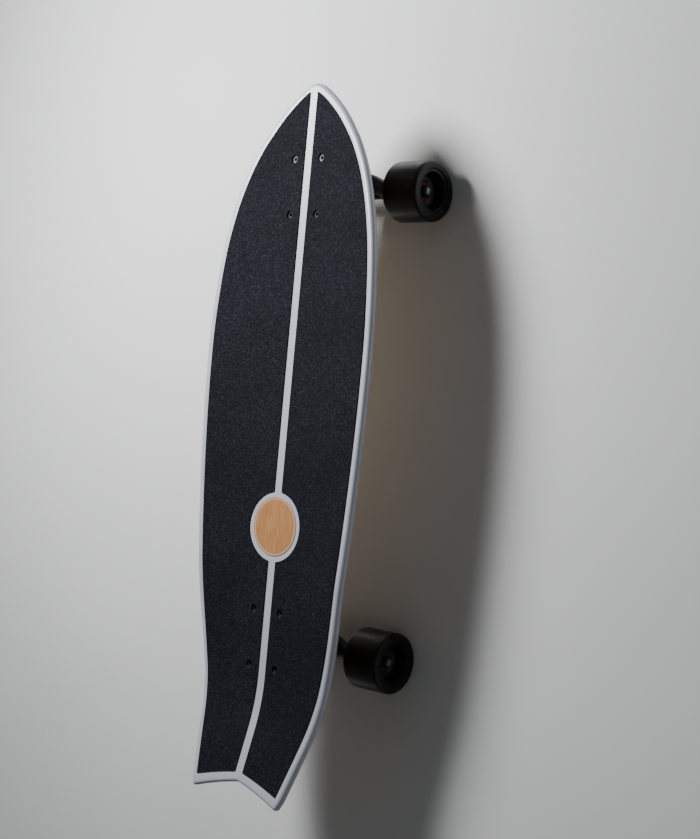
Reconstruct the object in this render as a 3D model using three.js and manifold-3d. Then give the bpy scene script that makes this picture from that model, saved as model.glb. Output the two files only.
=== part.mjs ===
// Surf skateboard: a swallow-tailed deck on two trucks. The front truck hangs on a swivel arm
// that a torsion spring centres. Millimetres, +Z up, +X to the nose, the board standing on its wheels.
import * as THREE from 'three';
import { mergeVertices } from 'three/addons/utils/BufferGeometryUtils.js';
import Module from 'manifold-3d';

const wasm = await Module();
wasm.setup();

// Fits
const gap = 0.3;
const overrun = 2;

// Deck
const deckLength = 809.7;
const deckWidth = 255.2;
const deckThickness = 11;
const railRounding = 5;
const tailEdgeBow = 1.5;
const concaveDepth = 12.5;
const concavePowerShare = 2.2;
const concaveFrom = 123.85;
const concaveTo = 263.85;
const kickLength = 135.85;
const kickRadius = 216;
const kickDegrees = 16;

// Grip and badge
const gripBorder = 9.2;
const stripeWidth = 12;
const gripThickness = 0.9;
const gripTip = 1.2;
const badgeFromTail = 304.45;
const badgeRadius = 32.5;
const badgeRingRadius = 40;

// Bolt pattern and the bolts through the deck
const boltSpacingX = 63.5;
const boltSpacingY = 41.3;
const frontPatternFromNose = 118.6;
const rearPatternFromTail = 177.1;
const boltRadius = 2.4;
const boltHeadRadius = 4.5;
const boltHeadHeight = 2.6;
const boltSunk = 0.5;
const boltNutRadius = 5.4;
const boltNutHeight = 5.6;
const boltTail = 1.2;

// Wheels, measured inwards from the outer face
const tyreRadius = 35;
const tyreWidth = 50;
const tyreEdge = 3.5;
const tyreLipRadius = 25.5;
const tyreLipDepth = 1.5;
const tyreThroatRadius = 22;
const tyreBackRadius = 24;
const coreRadius = 17.5;
const coreStart = 14;
const coreEnd = 42;
const coreBore = 9;
const bearingRadius = 11;
const bearingWidth = 7;
const outerBearingDepth = 16;
const innerBearingDepth = 33;
const frontTrack = 228;
const rearTrack = 238;

// Axles
const axleRadius = 4;
const axleCollarRadius = 6.4;
const axleNutRadius = 7.5;
const axleNutHeight = 7.4;
const axleTail = 0.9;
const collarThickness = 0.7;
const frontAxleDrop = 76;
const frontAxleX = 6.5;
const rearAxleX = -13.3;

// Trucks: riser pads, plates and what both hangers share
const frontRiserThickness = 3;
const rearRiserThickness = 12;
const plateLength = 84;
const plateWidth = 56;
const plateThickness = 7;
const plateCorner = 9;
const plateBevel = 1;
const kingpinRadius = 5;
const kingpinHeadRadius = 8.4;
const kingpinHeadHeight = 6.5;
const kingpinPocketRadius = 9.6;
const kingpinNutRadius = 8.2;
const kingpinNutHeight = 9;
const kingpinTail = 1.5;
const kingpinSlackRadius = 7.3;
const bushingRadius = 12.4;
const bushingSmallRadius = 10;
const bushingHeight = 12;
const washerRadius = 12.6;
const washerThickness = 1.5;
const seatRadius = 14;
const ringRadius = 17;
const ringThickness = 8;
const bushingPocketRadius = 13.8;
const pivotTipRadius = 5.4;
const pivotRootRadius = 9;
const pivotPinLength = 9;
const pivotArmRadius = 10;
const cupRadius = 8;
const cupFloor = 2.2;
const cupDepth = 7.6;
const cupBossRadius = 11;
const cupBossFloor = 2.5;
const hangerEndRadius = 8.6;

// Front truck: swivel arm
const swivelX = 56;
const swivelDegrees = 7;
const swivelBoltRadius = 5;
const swivelBoltHeadRadius = 8;
const swivelBoltHeadHeight = 5;
const swivelNutRadius = 8.2;
const swivelNutHeight = 7;
const swivelBoltTail = 1;
const hubFlangeRadius = 22;
const hubNeckRadius = 12.4;
const baseNeckHeight = 9;
const thrustHeight = 4.8;
const thrustRadius = 11.8;
const springSeatDepth = 2.6;
const armShelfDepth = 26;
const armHubRadius = 20;
const armHubHeight = 9;
const springWire = 4.5;
const springRadius = 16.6;
const springCurls = 2.5;
const springBend = 3.5;
const tangPocketDepth = 3.4;
const armWidth = 30;
const armBevel = 1.5;
const armWebThickness = 9;
const armRib = 5;
const armTopDrop = 18;
const armInnerX = -36;
const armHeelDrop = 45;
const armCorner = 4;
const kingpinGrip = 9.6;
const frontLeanDegrees = 38;
const frontRake = 8;
const frontRingReach = 22;
const frontPivotReach = 18;

// Rear truck
const rearRingX = 10.7;
const rearRingDrop = 60;
const rearKingpinDegrees = 12.7;
const rearPivotX = -38;
const rearPivotDrop = 34;
const rearPocketDepth = 16;
const postTopRadius = 18.5;
const pivotBlockWidth = 25;

// How finely round things are faceted
const tyreSides = 24;
const coreSides = 14;
const hubSides = 14;
const bearingSides = 12;
const ringSides = 12;
const smallSides = 8;
const hexSides = 6;

// Heights and places that follow from the sizes
const axleDrop = frontAxleDrop + frontRiserThickness + deckThickness;
const axleHeight = tyreRadius * Math.cos(Math.PI / tyreSides);
const deckTopHeight = axleHeight + axleDrop;
const halfLength = deckLength / 2;
const halfWidth = deckWidth / 2;
const halfStripe = stripeWidth / 2;
const concaveStart = concaveFrom - halfLength;
const concaveEnd = concaveTo - halfLength;
const kickStart = kickLength - halfLength;
const badgeX = badgeFromTail - halfLength;
const frontPatternX = halfLength - frontPatternFromNose;
const rearPatternX = rearPatternFromTail - halfLength;

const up = new THREE.Vector3(0, 0, 1);
const sideways = new THREE.Vector3(0, 1, 0);

// A point in the upright plane that runs along the board
function inPlane(x, z) {
  return new THREE.Vector3(x, 0, z);
}

// The point at a distance from another along a direction
function along(start, direction, distance) {
  return start.clone().addScaledVector(direction, distance);
}

// Welds a closed geometry into a solid that faces outwards
function solid(geometry) {
  const plain = geometry.clone();
  plain.deleteAttribute('normal');
  plain.deleteAttribute('uv');
  const welded = mergeVertices(plain, 1e-4);
  const corners = [];
  const order = welded.index.array;
  for (let i = 0; i < order.length; i += 3) {
    const [a, b, c] = [order[i], order[i + 1], order[i + 2]];
    if (a !== b && b !== c && c !== a) corners.push(a, b, c);
  }
  const places = welded.attributes.position;
  const [a, b, c] = [new THREE.Vector3(), new THREE.Vector3(), new THREE.Vector3()];
  let volume = 0;
  for (let i = 0; i < corners.length; i += 3) {
    a.fromBufferAttribute(places, corners[i]);
    b.fromBufferAttribute(places, corners[i + 1]);
    c.fromBufferAttribute(places, corners[i + 2]);
    volume += a.dot(b.cross(c));
  }
  if (volume < 0) corners.reverse();
  const vertProperties = new Float32Array(places.array);
  const triVerts = new Uint32Array(corners);
  return new wasm.Manifold(new wasm.Mesh({ numProp: 3, vertProperties, triVerts }));
}

// Joins several solids into one
function joined(...solids) {
  return solids.reduce((whole, next) => whole.add(next));
}

// Takes several solids away from one
function cut(whole, ...tools) {
  return tools.reduce((rest, tool) => rest.subtract(tool), whole);
}

// A shape turned round an axis from [radius, height] points; it closes on itself off the axis
function turned(profile, start, axis, sides, turnShare = 0) {
  const points = profile.map(([radius, height]) => new THREE.Vector2(radius, height));
  if (profile[0][0] !== 0) points.push(points[0].clone());
  const geometry = new THREE.LatheGeometry(points, sides);
  geometry.rotateY(turnShare * 2 * Math.PI / sides);
  geometry.applyQuaternion(new THREE.Quaternion().setFromUnitVectors(sideways, axis));
  geometry.translate(start.x, start.y, start.z);
  return solid(geometry);
}

// A plain round or six-sided rod between two heights on an axis
function rod(radius, from, to, start, axis, sides) {
  return turned([[0, from], [radius, from], [radius, to], [0, to]], start, axis, sides);
}

// A round or six-sided ring between two heights on an axis
function ring(inner, outer, from, to, start, axis, sides) {
  return turned([[inner, from], [outer, from], [outer, to], [inner, to]], start, axis, sides);
}

// An outline whose corners are rounded, each by no more than a share of its edges
const mostRoundedShare = 0.42;

function roundedOutline(points, rounding) {
  const shape = new THREE.Shape();
  points.forEach(([x, y], i) => {
    const corner = new THREE.Vector2(x, y);
    const before = new THREE.Vector2(...points[(i + points.length - 1) % points.length]);
    const after = new THREE.Vector2(...points[(i + 1) % points.length]);
    const backShare = Math.min(rounding / corner.distanceTo(before), mostRoundedShare);
    const aheadShare = Math.min(rounding / corner.distanceTo(after), mostRoundedShare);
    const enter = corner.clone().lerp(before, backShare);
    const leave = corner.clone().lerp(after, aheadShare);
    if (i === 0) shape.moveTo(enter.x, enter.y);
    else shape.lineTo(enter.x, enter.y);
    shape.quadraticCurveTo(corner.x, corner.y, leave.x, leave.y);
  });
  return shape;
}

// A flat outline made into a plate with bevelled edges, from z = -thickness to 0
function plate(shape, thickness, bevel, curveSegments) {
  const geometry = new THREE.ExtrudeGeometry(shape, {
    depth: thickness - 2 * bevel,
    bevelEnabled: bevel > 0,
    bevelThickness: bevel,
    bevelSize: bevel,
    bevelOffset: -bevel,
    bevelSegments: 1,
    curveSegments,
  });
  geometry.translate(0, 0, bevel - thickness);
  return solid(geometry);
}

// A side profile in x and z made as wide as given, centred on the board's middle plane
function sideProfile(shape, width, bevel, curveSegments) {
  const geometry = new THREE.ExtrudeGeometry(shape, {
    depth: width - 2 * bevel,
    bevelEnabled: bevel > 0,
    bevelThickness: bevel,
    bevelSize: bevel,
    bevelOffset: -bevel,
    bevelSegments: 1,
    curveSegments,
  });
  geometry.rotateX(Math.PI / 2);
  geometry.translate(0, width / 2 - bevel, 0);
  return solid(geometry);
}

// Turns a solid back into a geometry
function geometryOf(body) {
  const { vertProperties, triVerts } = body.getMesh();
  const geometry = new THREE.BufferGeometry();
  geometry.setAttribute('position', new THREE.BufferAttribute(vertProperties, 3));
  geometry.setIndex(new THREE.BufferAttribute(triVerts, 1));
  geometry.computeVertexNormals();
  return geometry;
}

const finishes = {
  paint: { color: 0xd9dbe0, roughness: 0.35, metalness: 0 },
  grit: { color: 0x2a2b31, roughness: 0.95, metalness: 0 },
  ply: { color: 0xbe8c5f, roughness: 0.5, metalness: 0 },
  blackMetal: { color: 0x1a1a1c, roughness: 0.45, metalness: 0.3 },
  steel: { color: 0xb4b6ba, roughness: 0.3, metalness: 1 },
  blackSteel: { color: 0x26262a, roughness: 0.35, metalness: 0.8 },
  pad: { color: 0x19191a, roughness: 0.8, metalness: 0 },
  urethane: { color: 0x1c1c1e, roughness: 0.55, metalness: 0 },
  core: { color: 0x222225, roughness: 0.4, metalness: 0 },
  shield: { color: 0x6d1626, roughness: 0.4, metalness: 0 },
  bushing: { color: 0x2b2b2e, roughness: 0.6, metalness: 0 },
};

const board = new THREE.Group();

// Adds a named piece with its finish to a group
function piece(group, name, body, finish) {
  const mesh = new THREE.Mesh(geometryOf(body), new THREE.MeshStandardMaterial(finishes[finish]));
  mesh.name = name;
  group.add(mesh);
  return mesh;
}

// Deck: half outline from the tail corner to the nose tip, as shares of half length and half width
const railShares = [
  [-0.915, 0.609], [-0.767, 0.716], [-0.57, 0.825], [-0.372, 0.901], [-0.175, 0.953],
  [0.023, 0.987], [0.196, 1], [0.344, 0.99], [0.517, 0.938], [0.64, 0.857], [0.739, 0.75],
  [0.813, 0.631], [0.862, 0.525], [0.912, 0.3945], [0.949, 0.273], [0.9735, 0.178],
  [0.9895, 0.102], [0.9974, 0.047], [1, 0],
];
const tailCornerShares = [-1.00494, 0.53683];
const notchShare = -0.95776;
const tailCorner = new THREE.Vector2(tailCornerShares[0] * halfLength, tailCornerShares[1] * halfWidth);
const notch = new THREE.Vector2(notchShare * halfLength, 0);
const rail = new THREE.SplineCurve([
  tailCorner, ...railShares.map(([x, y]) => new THREE.Vector2(x * halfLength, y * halfWidth)),
]);
const tailMiddle = notch.clone().lerp(tailCorner, 1 / 2);
const tailControl = new THREE.Vector2(tailMiddle.x + 2 * tailEdgeBow, tailMiddle.y);

// The left tail edge from the notch to the corner, moved inwards
function tailEdge(inset) {
  const fromNotch = tailControl.clone().sub(notch).normalize();
  const fromCorner = tailControl.clone().sub(tailCorner).normalize();
  const fromRail = rail.getTangent(0);
  const spread = Math.abs(fromRail.cross(fromCorner));
  const corner = tailCorner.clone().addScaledVector(fromRail, inset / spread)
    .addScaledVector(fromCorner, inset / spread);
  const chord = tailCorner.clone().sub(notch).normalize();
  const control = tailControl.clone().add(new THREE.Vector2(chord.y, -chord.x).multiplyScalar(inset));
  const start = new THREE.Vector2(notch.x + inset / Math.abs(fromNotch.y), 0);
  return new THREE.QuadraticBezierCurve(start, control, corner);
}

// The left rail from the tail corner towards the nose, moved inwards, ending at endY
function railEdge(inset, endY) {
  const points = [tailEdge(inset).v2];
  const samples = 240;
  let last = points[0];
  for (let i = 1; i <= samples; i += 1) {
    const tangent = rail.getTangent(i / samples);
    const here = rail.getPoint(i / samples).add(
      new THREE.Vector2(tangent.y, -tangent.x).multiplyScalar(inset));
    if (i === samples) here.y = 0;
    if (here.x <= points[0].x || last.y <= endY) continue;
    if (here.y < endY) here.lerpVectors(last, here, (last.y - endY) / (last.y - here.y));
    points.push(here);
    last = here;
  }
  const curve = new THREE.SplineCurve(points);
  curve.arcLengthDivisions = 800;
  return curve;
}

// How far the deck's top rises above its flat at a place
function deckRise(x, y) {
  const fade = THREE.MathUtils.smoothstep(x, concaveStart, concaveEnd);
  const concave = concaveDepth * fade * Math.abs(y / halfWidth) ** concavePowerShare;
  const kickAngle = THREE.MathUtils.degToRad(kickDegrees);
  const past = Math.max(kickStart - x, 0);
  const arc = kickRadius * Math.sin(kickAngle);
  const onArc = kickRadius - Math.sqrt(kickRadius ** 2 - Math.min(past, arc) ** 2);
  return concave + onArc + Math.max(past - arc, 0) * Math.tan(kickAngle);
}

// Stations along the rail, closer together at the tail corner, in the kick and at the nose
const stationShares = [
  0, 0.006, 0.025, 0.048, 0.071, 0.094, 0.117, 0.14, 0.163, 0.19, 0.23, 0.28,
  0.34, 0.4, 0.47, 0.54, 0.61, 0.68, 0.74, 0.79, 0.83, 0.865, 0.9, 0.93, 0.957, 0.978,
];
const acrossHalf = 4;
const tailShares = [0, 0.3, 0.62, 0.925, 1];

// Adds the two triangles of a four-cornered face to a list of places
function addFace(list, a, b, c, d, flip) {
  const corners = flip ? [a, b, d, b, c, d] : [a, b, c, a, c, d];
  corners.forEach((corner) => list.push(corner.x, corner.y, corner.z));
}

// A geometry from a list of places, three to a triangle
function geometryFrom(list) {
  const geometry = new THREE.BufferGeometry();
  geometry.setAttribute('position', new THREE.Float32BufferAttribute(list, 3));
  return geometry;
}

// The deck's border at an inset: tail edge, rail and nose of the left half, corner softened
function deckBorder(inset) {
  const edge = railEdge(inset, 0);
  const railLine = stationShares.map((share) => edge.getPointAt(share));
  const railEnd = stationShares[stationShares.length - 1];
  const tail = tailEdge(inset);
  const tailLine = tailShares.map((share) => tail.getPoint(share));
  const beside = railLine[1].clone().lerp(tailLine[acrossHalf - 1], 1 / 2);
  const corner = railLine[0].clone().lerp(beside, 1 / 2);
  railLine[0] = corner;
  tailLine[acrossHalf] = corner;
  const noseLine = tailShares.map((unused, j) => edge.getPointAt(1 - (1 - railEnd) * j / acrossHalf));
  noseLine[acrossHalf] = railLine[railLine.length - 1];
  return { railLine, tailLine, noseLine };
}

// A point of the left or right half: the left half mirrored for negative counts
function mirrored(line, j) {
  const point = line[Math.abs(j)];
  return new THREE.Vector2(point.x, j < 0 ? -point.y : point.y);
}

// The grid of the deck's flat stretch inside its rounded rail at a height, a patch between four
// edges whose own points it keeps
function deckGrid(height) {
  const { railLine, tailLine, noseLine } = deckBorder(railRounding);
  const lastRow = railLine.length - 1;
  const railEnd = stationShares[lastRow];
  return railLine.map((railPoint, i) => {
    const t = stationShares[i] / railEnd;
    const row = [];
    for (let j = -acrossHalf; j <= acrossHalf; j += 1) {
      const side = mirrored(tailLine, j).y / tailLine[acrossHalf].y;
      const noseSide = j / acrossHalf;
      const share = side + (noseSide - side) * t;
      const atTail = mirrored(tailLine, j);
      const atNose = mirrored(noseLine, j);
      const atRail = mirrored(railLine, j < 0 ? -i : i);
      const x = railPoint.x + (1 - t) * (atTail.x - railLine[0].x)
        + t * (atNose.x - railLine[lastRow].x);
      const y = railPoint.y * share + (1 - t) * (atTail.y - side * railLine[0].y)
        + t * (atNose.y - noseSide * railLine[lastRow].y);
      let point = new THREE.Vector2(x, y);
      if (Math.abs(j) === acrossHalf) point = atRail;
      if (i === 0) point = atTail;
      if (i === lastRow) point = atNose;
      row.push(new THREE.Vector3(point.x, point.y, height));
    }
    return row;
  });
}

// The deck's border as one closed loop at a height, for one band of the rounded rail
function deckLoop(inset, height) {
  const { railLine, tailLine, noseLine } = deckBorder(inset);
  const loop = [];
  for (let j = -acrossHalf; j < acrossHalf; j += 1) loop.push(mirrored(tailLine, j));
  for (let i = 0; i < railLine.length - 1; i += 1) loop.push(railLine[i]);
  for (let j = acrossHalf; j > -acrossHalf; j -= 1) loop.push(mirrored(noseLine, j));
  for (let i = railLine.length - 1; i > 0; i -= 1) loop.push(mirrored(railLine, -i));
  return loop.map((point) => new THREE.Vector3(point.x, point.y, height));
}

// Raises every point of a flat list to the deck's pressed shape
function pressed(points) {
  return points.map((point) => new THREE.Vector3(
    point.x, point.y, point.z + deckTopHeight + deckRise(point.x, point.y)));
}

// The rounded rail from the top to the underside: shares of its rounding inwards and of the
// deck's thickness down
const railShape = [[1, 0], [0.29289, 0.14645], [0, 0.5], [0.29289, 0.85355], [1, 1]];

function deckBody() {
  const list = [];
  const topGrid = deckGrid(0).map((row) => pressed(row));
  const bottomGrid = deckGrid(-deckThickness).map((row) => pressed(row));
  for (let i = 0; i < topGrid.length - 1; i += 1) {
    for (let j = 0; j < 2 * acrossHalf; j += 1) {
      const flip = j >= acrossHalf;
      addFace(list, topGrid[i][j], topGrid[i + 1][j], topGrid[i + 1][j + 1], topGrid[i][j + 1], flip);
      addFace(list, bottomGrid[i][j], bottomGrid[i][j + 1], bottomGrid[i + 1][j + 1],
        bottomGrid[i + 1][j], flip);
    }
  }
  const loops = railShape.map(([inwardShare, downShare]) => (
    pressed(deckLoop(railRounding * inwardShare, -deckThickness * downShare))));
  for (let k = 0; k < loops.length - 1; k += 1) {
    const [upper, lower] = [loops[k], loops[k + 1]];
    for (let m = 0; m < upper.length; m += 1) {
      const n = (m + 1) % upper.length;
      addFace(list, upper[m], upper[n], lower[n], lower[m], upper[m].y < 0);
    }
  }
  return solid(geometryFrom(list));
}

// The places of the four bolts of a truck, in its own frame
function boltPlaces() {
  const places = [];
  [-1, 1].forEach((x) => [-1, 1].forEach((y) => {
    places.push(new THREE.Vector3(x * boltSpacingX / 2, y * boltSpacingY / 2, 0));
  }));
  return places;
}

// A place in the plane of the deck's flat
function deckPoint(x, y) {
  return new THREE.Vector3(x, y, deckTopHeight);
}

// Countersunk holes for the eight bolts through the deck
function deckBoltHoles() {
  const holes = [];
  [frontPatternX, rearPatternX].forEach((patternX) => boltPlaces().forEach((place) => {
    holes.push(turned([
      [0, -deckThickness - overrun], [boltRadius + gap, -deckThickness - overrun],
      [boltRadius + gap, -boltSunk - boltHeadHeight - gap], [boltHeadRadius + gap, -boltSunk - gap],
      [boltHeadRadius + gap, overrun], [0, overrun],
    ], deckPoint(place.x + patternX, place.y), up, smallSides));
  }));
  return holes;
}

const bareDeck = deckBody();
piece(board, 'deck', cut(bareDeck, ...deckBoltHoles()), 'paint');

// A thin sheet that lies on the deck's top within an upright region, following its facets
function laidOnDeck(region) {
  return region.intersect(bareDeck.translate(0, 0, gap + gripThickness))
    .subtract(bareDeck.translate(0, 0, gap));
}

// Grip: two sheets, one each side of the centre stripe, cut out round the badge and the bolts
const gripShares = stationShares.filter((share, i) => i !== 1 && i % 2 === 0)
  .map((share) => share / stationShares[stationShares.length - 2]);
const gripTailSteps = 3;

function gripSheet(side) {
  const edge = railEdge(gripBorder, halfStripe + gripTip);
  const tail = tailEdge(gripBorder);
  const innerShare = halfStripe / tail.v2.y;
  const border = [new THREE.Vector2(tail.getPoint(innerShare).x, halfStripe)];
  for (let k = 1; k < gripTailSteps; k += 1) {
    border.push(tail.getPoint(innerShare + (1 - innerShare) * k / gripTailSteps));
  }
  gripShares.forEach((share) => border.push(edge.getPointAt(share)));
  border.push(new THREE.Vector2(border[border.length - 1].x, halfStripe));
  const shape = new THREE.Shape(border.map((point) => new THREE.Vector2(point.x, side * point.y)));
  const height = gripThickness + concaveDepth + deckRise(tailCorner.x, 0) + 2 * overrun;
  const region = plate(shape, height, 0, 1).translate(0, 0, deckTopHeight - overrun + height);
  const badgeCut = rod(badgeRingRadius, -overrun, deckThickness, deckPoint(badgeX, 0), up, tyreSides);
  const boltCuts = [frontPatternX, rearPatternX].flatMap((patternX) => boltPlaces().map((place) => {
    const boltAt = deckPoint(place.x + patternX, place.y);
    return rod(boltHeadRadius + gap, -overrun, deckThickness, boltAt, up, smallSides);
  }));
  return cut(laidOnDeck(region), badgeCut, ...boltCuts);
}

piece(board, 'griptape_left', gripSheet(1), 'grit');
piece(board, 'griptape_right', gripSheet(-1), 'grit');

// Badge: a thin round plate in the ring between the two grip sheets, pressed like the deck
function badgeBody() {
  return laidOnDeck(rod(badgeRadius, -overrun, deckThickness, deckPoint(badgeX, 0), up, tyreSides));
}

piece(board, 'deck_badge', badgeBody(), 'ply');

// The four bolts that hold a truck, each with its nut, in the truck's own frame
function mountingBolts(group, end, riserThickness) {
  const top = riserThickness + deckThickness - boltSunk;
  const nutTop = -plateThickness - gap;
  const tail = nutTop - boltNutHeight - boltTail;
  boltPlaces().forEach((place, i) => {
    const bolt = turned([
      [0, tail], [boltRadius, tail], [boltRadius, top - boltHeadHeight], [boltHeadRadius, top], [0, top],
    ], place, up, smallSides);
    const nut = rod(boltNutRadius, nutTop - boltNutHeight, nutTop, place, up, hexSides);
    const finish = end === 'front' && place.x > 0 ? 'steel' : 'blackSteel';
    piece(group, `${end}_mount_bolt_${i + 1}`, joined(bolt, nut), finish);
  });
}

// The holes for those bolts through a plate or a pad
function boltHoles(from, to) {
  return boltPlaces().map((place) => rod(boltRadius + gap, from, to, place, up, smallSides));
}

// A truck's rectangular footprint with rounded corners
function footprint() {
  const [x, y] = [plateLength / 2, plateWidth / 2];
  return roundedOutline([[-x, -y], [x, -y], [x, y], [-x, y]], plateCorner);
}

// The pad between the deck and a truck
function riserPad(group, end, riserThickness) {
  const pad = plate(footprint(), riserThickness - 2 * gap, 0, 3).translate(0, 0, riserThickness - gap);
  piece(group, `${end}_riser_pad`, cut(pad, ...boltHoles(-overrun, riserThickness + overrun)), 'pad');
}

// How the stack on a kingpin is spaced, measured from the middle of the hanger's ring
const ringFace = ringThickness / 2;
const bushingFrom = ringFace + gap;
const bushingTo = bushingFrom + bushingHeight;
const washerFrom = bushingTo + gap;
const washerTo = washerFrom + washerThickness;
const stackTo = washerTo + gap;

// Kingpin, nut, two bushings and two washers on the axis through the hanger's ring
function kingpinStack(group, end, ringAt, axis, headAt) {
  const nutTo = stackTo + kingpinNutHeight;
  piece(group, `${end}_kingpin`, joined(
    rod(kingpinHeadRadius, headAt - kingpinHeadHeight, headAt - gap, ringAt, axis, hexSides),
    rod(kingpinRadius, headAt - 2 * gap, nutTo + kingpinTail, ringAt, axis, smallSides),
  ), 'steel');
  piece(group, `${end}_kingpin_nut`, cut(
    rod(kingpinNutRadius, stackTo, nutTo, ringAt, axis, hexSides),
    rod(kingpinRadius + gap, washerTo, nutTo + overrun, ringAt, axis, ringSides),
  ), 'steel');
  const bore = kingpinRadius + gap;
  [['upper', -1], ['lower', 1]].forEach(([place, sign]) => {
    const outward = axis.clone().multiplyScalar(sign);
    piece(group, `${end}_bushing_${place}`, turned([
      [bore, bushingFrom], [bushingRadius, bushingFrom], [bushingRadius, bushingFrom + bushingHeight / 3],
      [bushingSmallRadius, bushingTo], [bore, bushingTo],
    ], ringAt, outward, ringSides), 'bushing');
    piece(group, `${end}_washer_${place}`, ring(
      bore, washerRadius, washerFrom, washerTo, ringAt, outward, ringSides), 'steel');
  });
}

// The space that the bushings and the kingpin take out of a hanger
function kingpinCuts(ringAt, axis) {
  const far = 2 * stackTo;
  return [
    rod(bushingPocketRadius, ringFace / 2, far, ringAt, axis, hubSides),
    rod(bushingPocketRadius, -far, -ringFace / 2, ringAt, axis, hubSides),
    rod(kingpinSlackRadius, -far, far, ringAt, axis, ringSides),
  ];
}

// Pivot cup, its bore, and the pin that turns in it; heights run from the tip's centre to the hanger
const cupInner = pivotTipRadius + gap;
const cupBottom = -cupInner - cupFloor;
const cupMouth = cupDepth + cupBottom + cupFloor;

function pivotCup(tip, axis) {
  return turned([
    [0, cupBottom], [cupRadius, cupBottom], [cupRadius, cupMouth], [cupInner, cupMouth],
    [cupInner, -cupInner], [0, -cupInner],
  ], tip, axis, ringSides);
}

function cupBore(tip, axis) {
  return rod(cupRadius + gap, cupBottom - gap, cupMouth + 2 * overrun, tip, axis, ringSides);
}

function pivotPin(tip, axis, rootAt) {
  const round = pivotTipRadius * Math.SQRT1_2;
  return turned([
    [0, -pivotTipRadius], [round, -round], [pivotTipRadius, 0], [pivotTipRadius, cupMouth + gap],
    [pivotRootRadius, pivotPinLength], [pivotRootRadius, rootAt], [0, rootAt],
  ], tip, axis, ringSides);
}

// The body of a hanger: rounded sections from one wheel to the other, swelling towards the ring
const sectionSides = 12;

function hangerBody(half, axleAt, reach, lift, reachAxis, shares) {
  const thickAxis = new THREE.Vector3(-reachAxis.z, 0, reachAxis.x);
  const leftHalf = shares.map((row) => [...row, 1]);
  const rightHalf = shares.slice(0, -1).reverse().map((row) => [...row, -1]);
  const halves = [...leftHalf, ...rightHalf];
  const rows = halves.map(([across, outShare, liftShare, longShare, thickShare, sign]) => {
    const centre = along(along(axleAt, reachAxis, reach * outShare), thickAxis, lift * liftShare);
    centre.y = sign * half * across;
    const row = [];
    for (let k = 0; k < sectionSides; k += 1) {
      const angle = 2 * Math.PI * (k + 1 / 2) / sectionSides;
      const out = along(centre, reachAxis, hangerEndRadius * longShare * Math.cos(angle));
      row.push(along(out, thickAxis, hangerEndRadius * thickShare * Math.sin(angle)));
    }
    return row;
  });
  const list = [];
  for (let i = 0; i < rows.length - 1; i += 1) {
    for (let k = 0; k < sectionSides; k += 1) {
      const next = (k + 1) % sectionSides;
      addFace(list, rows[i][k], rows[i][next], rows[i + 1][next], rows[i + 1][k], i >= shares.length - 1);
    }
  }
  [rows[0], [...rows[rows.length - 1]].reverse()].forEach((row) => {
    for (let k = 1; k < sectionSides - 1; k += 1) {
      [row[0], row[k + 1], row[k]].forEach((corner) => list.push(corner.x, corner.y, corner.z));
    }
  });
  return solid(geometryFrom(list));
}

// Axle: a steel rod through the hanger, with a speed washer and a spacer turned on it at each wheel
function axleRod(half, track, axleAt) {
  const face = track / 2;
  const steps = [];
  const washerStart = half + gap;
  const spacerFrom = face - innerBearingDepth + gap;
  const spacerTo = face - outerBearingDepth - bearingWidth - gap;
  steps.push([axleRadius, washerStart], [axleCollarRadius, washerStart]);
  steps.push([axleCollarRadius, washerStart + collarThickness], [axleRadius, washerStart + collarThickness]);
  steps.push([axleRadius, spacerFrom], [axleCollarRadius, spacerFrom]);
  steps.push([axleCollarRadius, spacerTo], [axleRadius, spacerTo]);
  const tip = face - outerBearingDepth + gap + axleNutHeight + axleTail;
  steps.push([axleRadius, tip], [0, tip]);
  const mirror = steps.map(([radius, height]) => [radius, -height]).reverse();
  return turned([...mirror, ...steps], axleAt, sideways, smallSides);
}

function axleBore(half, axleAt) {
  return rod(axleRadius + gap, -half - overrun, half + overrun, axleAt, sideways, ringSides);
}

// Wheel: tyre, core, two bearings and the axle nut, from the outer face inwards
const tyreBore = coreRadius + gap;
const tyreProfile = [
  [tyreBore, coreStart], [tyreThroatRadius, tyreLipDepth], [tyreLipRadius, tyreLipDepth],
  [tyreLipRadius, 0], [tyreRadius - tyreEdge, 0], [tyreRadius, tyreEdge],
  [tyreRadius, tyreWidth - tyreEdge], [tyreRadius - tyreEdge, tyreWidth], [tyreBackRadius, tyreWidth],
  [tyreBore, coreEnd],
];
const seatEnd = outerBearingDepth + bearingWidth + gap;
const backSeat = innerBearingDepth - gap;
const seatBore = bearingRadius + gap;
const coreProfile = [
  [seatBore, coreStart], [coreRadius, coreStart], [coreRadius, coreEnd], [seatBore, coreEnd],
  [seatBore, backSeat], [coreBore, backSeat], [coreBore, seatEnd], [seatBore, seatEnd],
];

function wheel(group, name, side, track, axleAt) {
  const face = axleAt.clone().setY(side * track / 2);
  const inwards = new THREE.Vector3(0, -side, 0);
  piece(group, `${name}_tyre`, turned(tyreProfile, face, inwards, tyreSides, 1 / 2), 'urethane');
  piece(group, `${name}_core`, turned(coreProfile, face, inwards, coreSides), 'core');
  [['outer', outerBearingDepth], ['inner', innerBearingDepth]].forEach(([place, depth]) => {
    piece(group, `${name}_bearing_${place}`, ring(
      axleRadius + gap, bearingRadius, depth, depth + bearingWidth, face, inwards, bearingSides), 'shield');
  });
  const nutFrom = outerBearingDepth - gap - axleNutHeight;
  piece(group, `${name}_axle_nut`, cut(
    rod(axleNutRadius, nutFrom, outerBearingDepth - gap, face, inwards, hexSides),
    rod(axleRadius + gap, nutFrom - overrun, outerBearingDepth, face, inwards, ringSides),
  ), 'steel');
}

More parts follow.
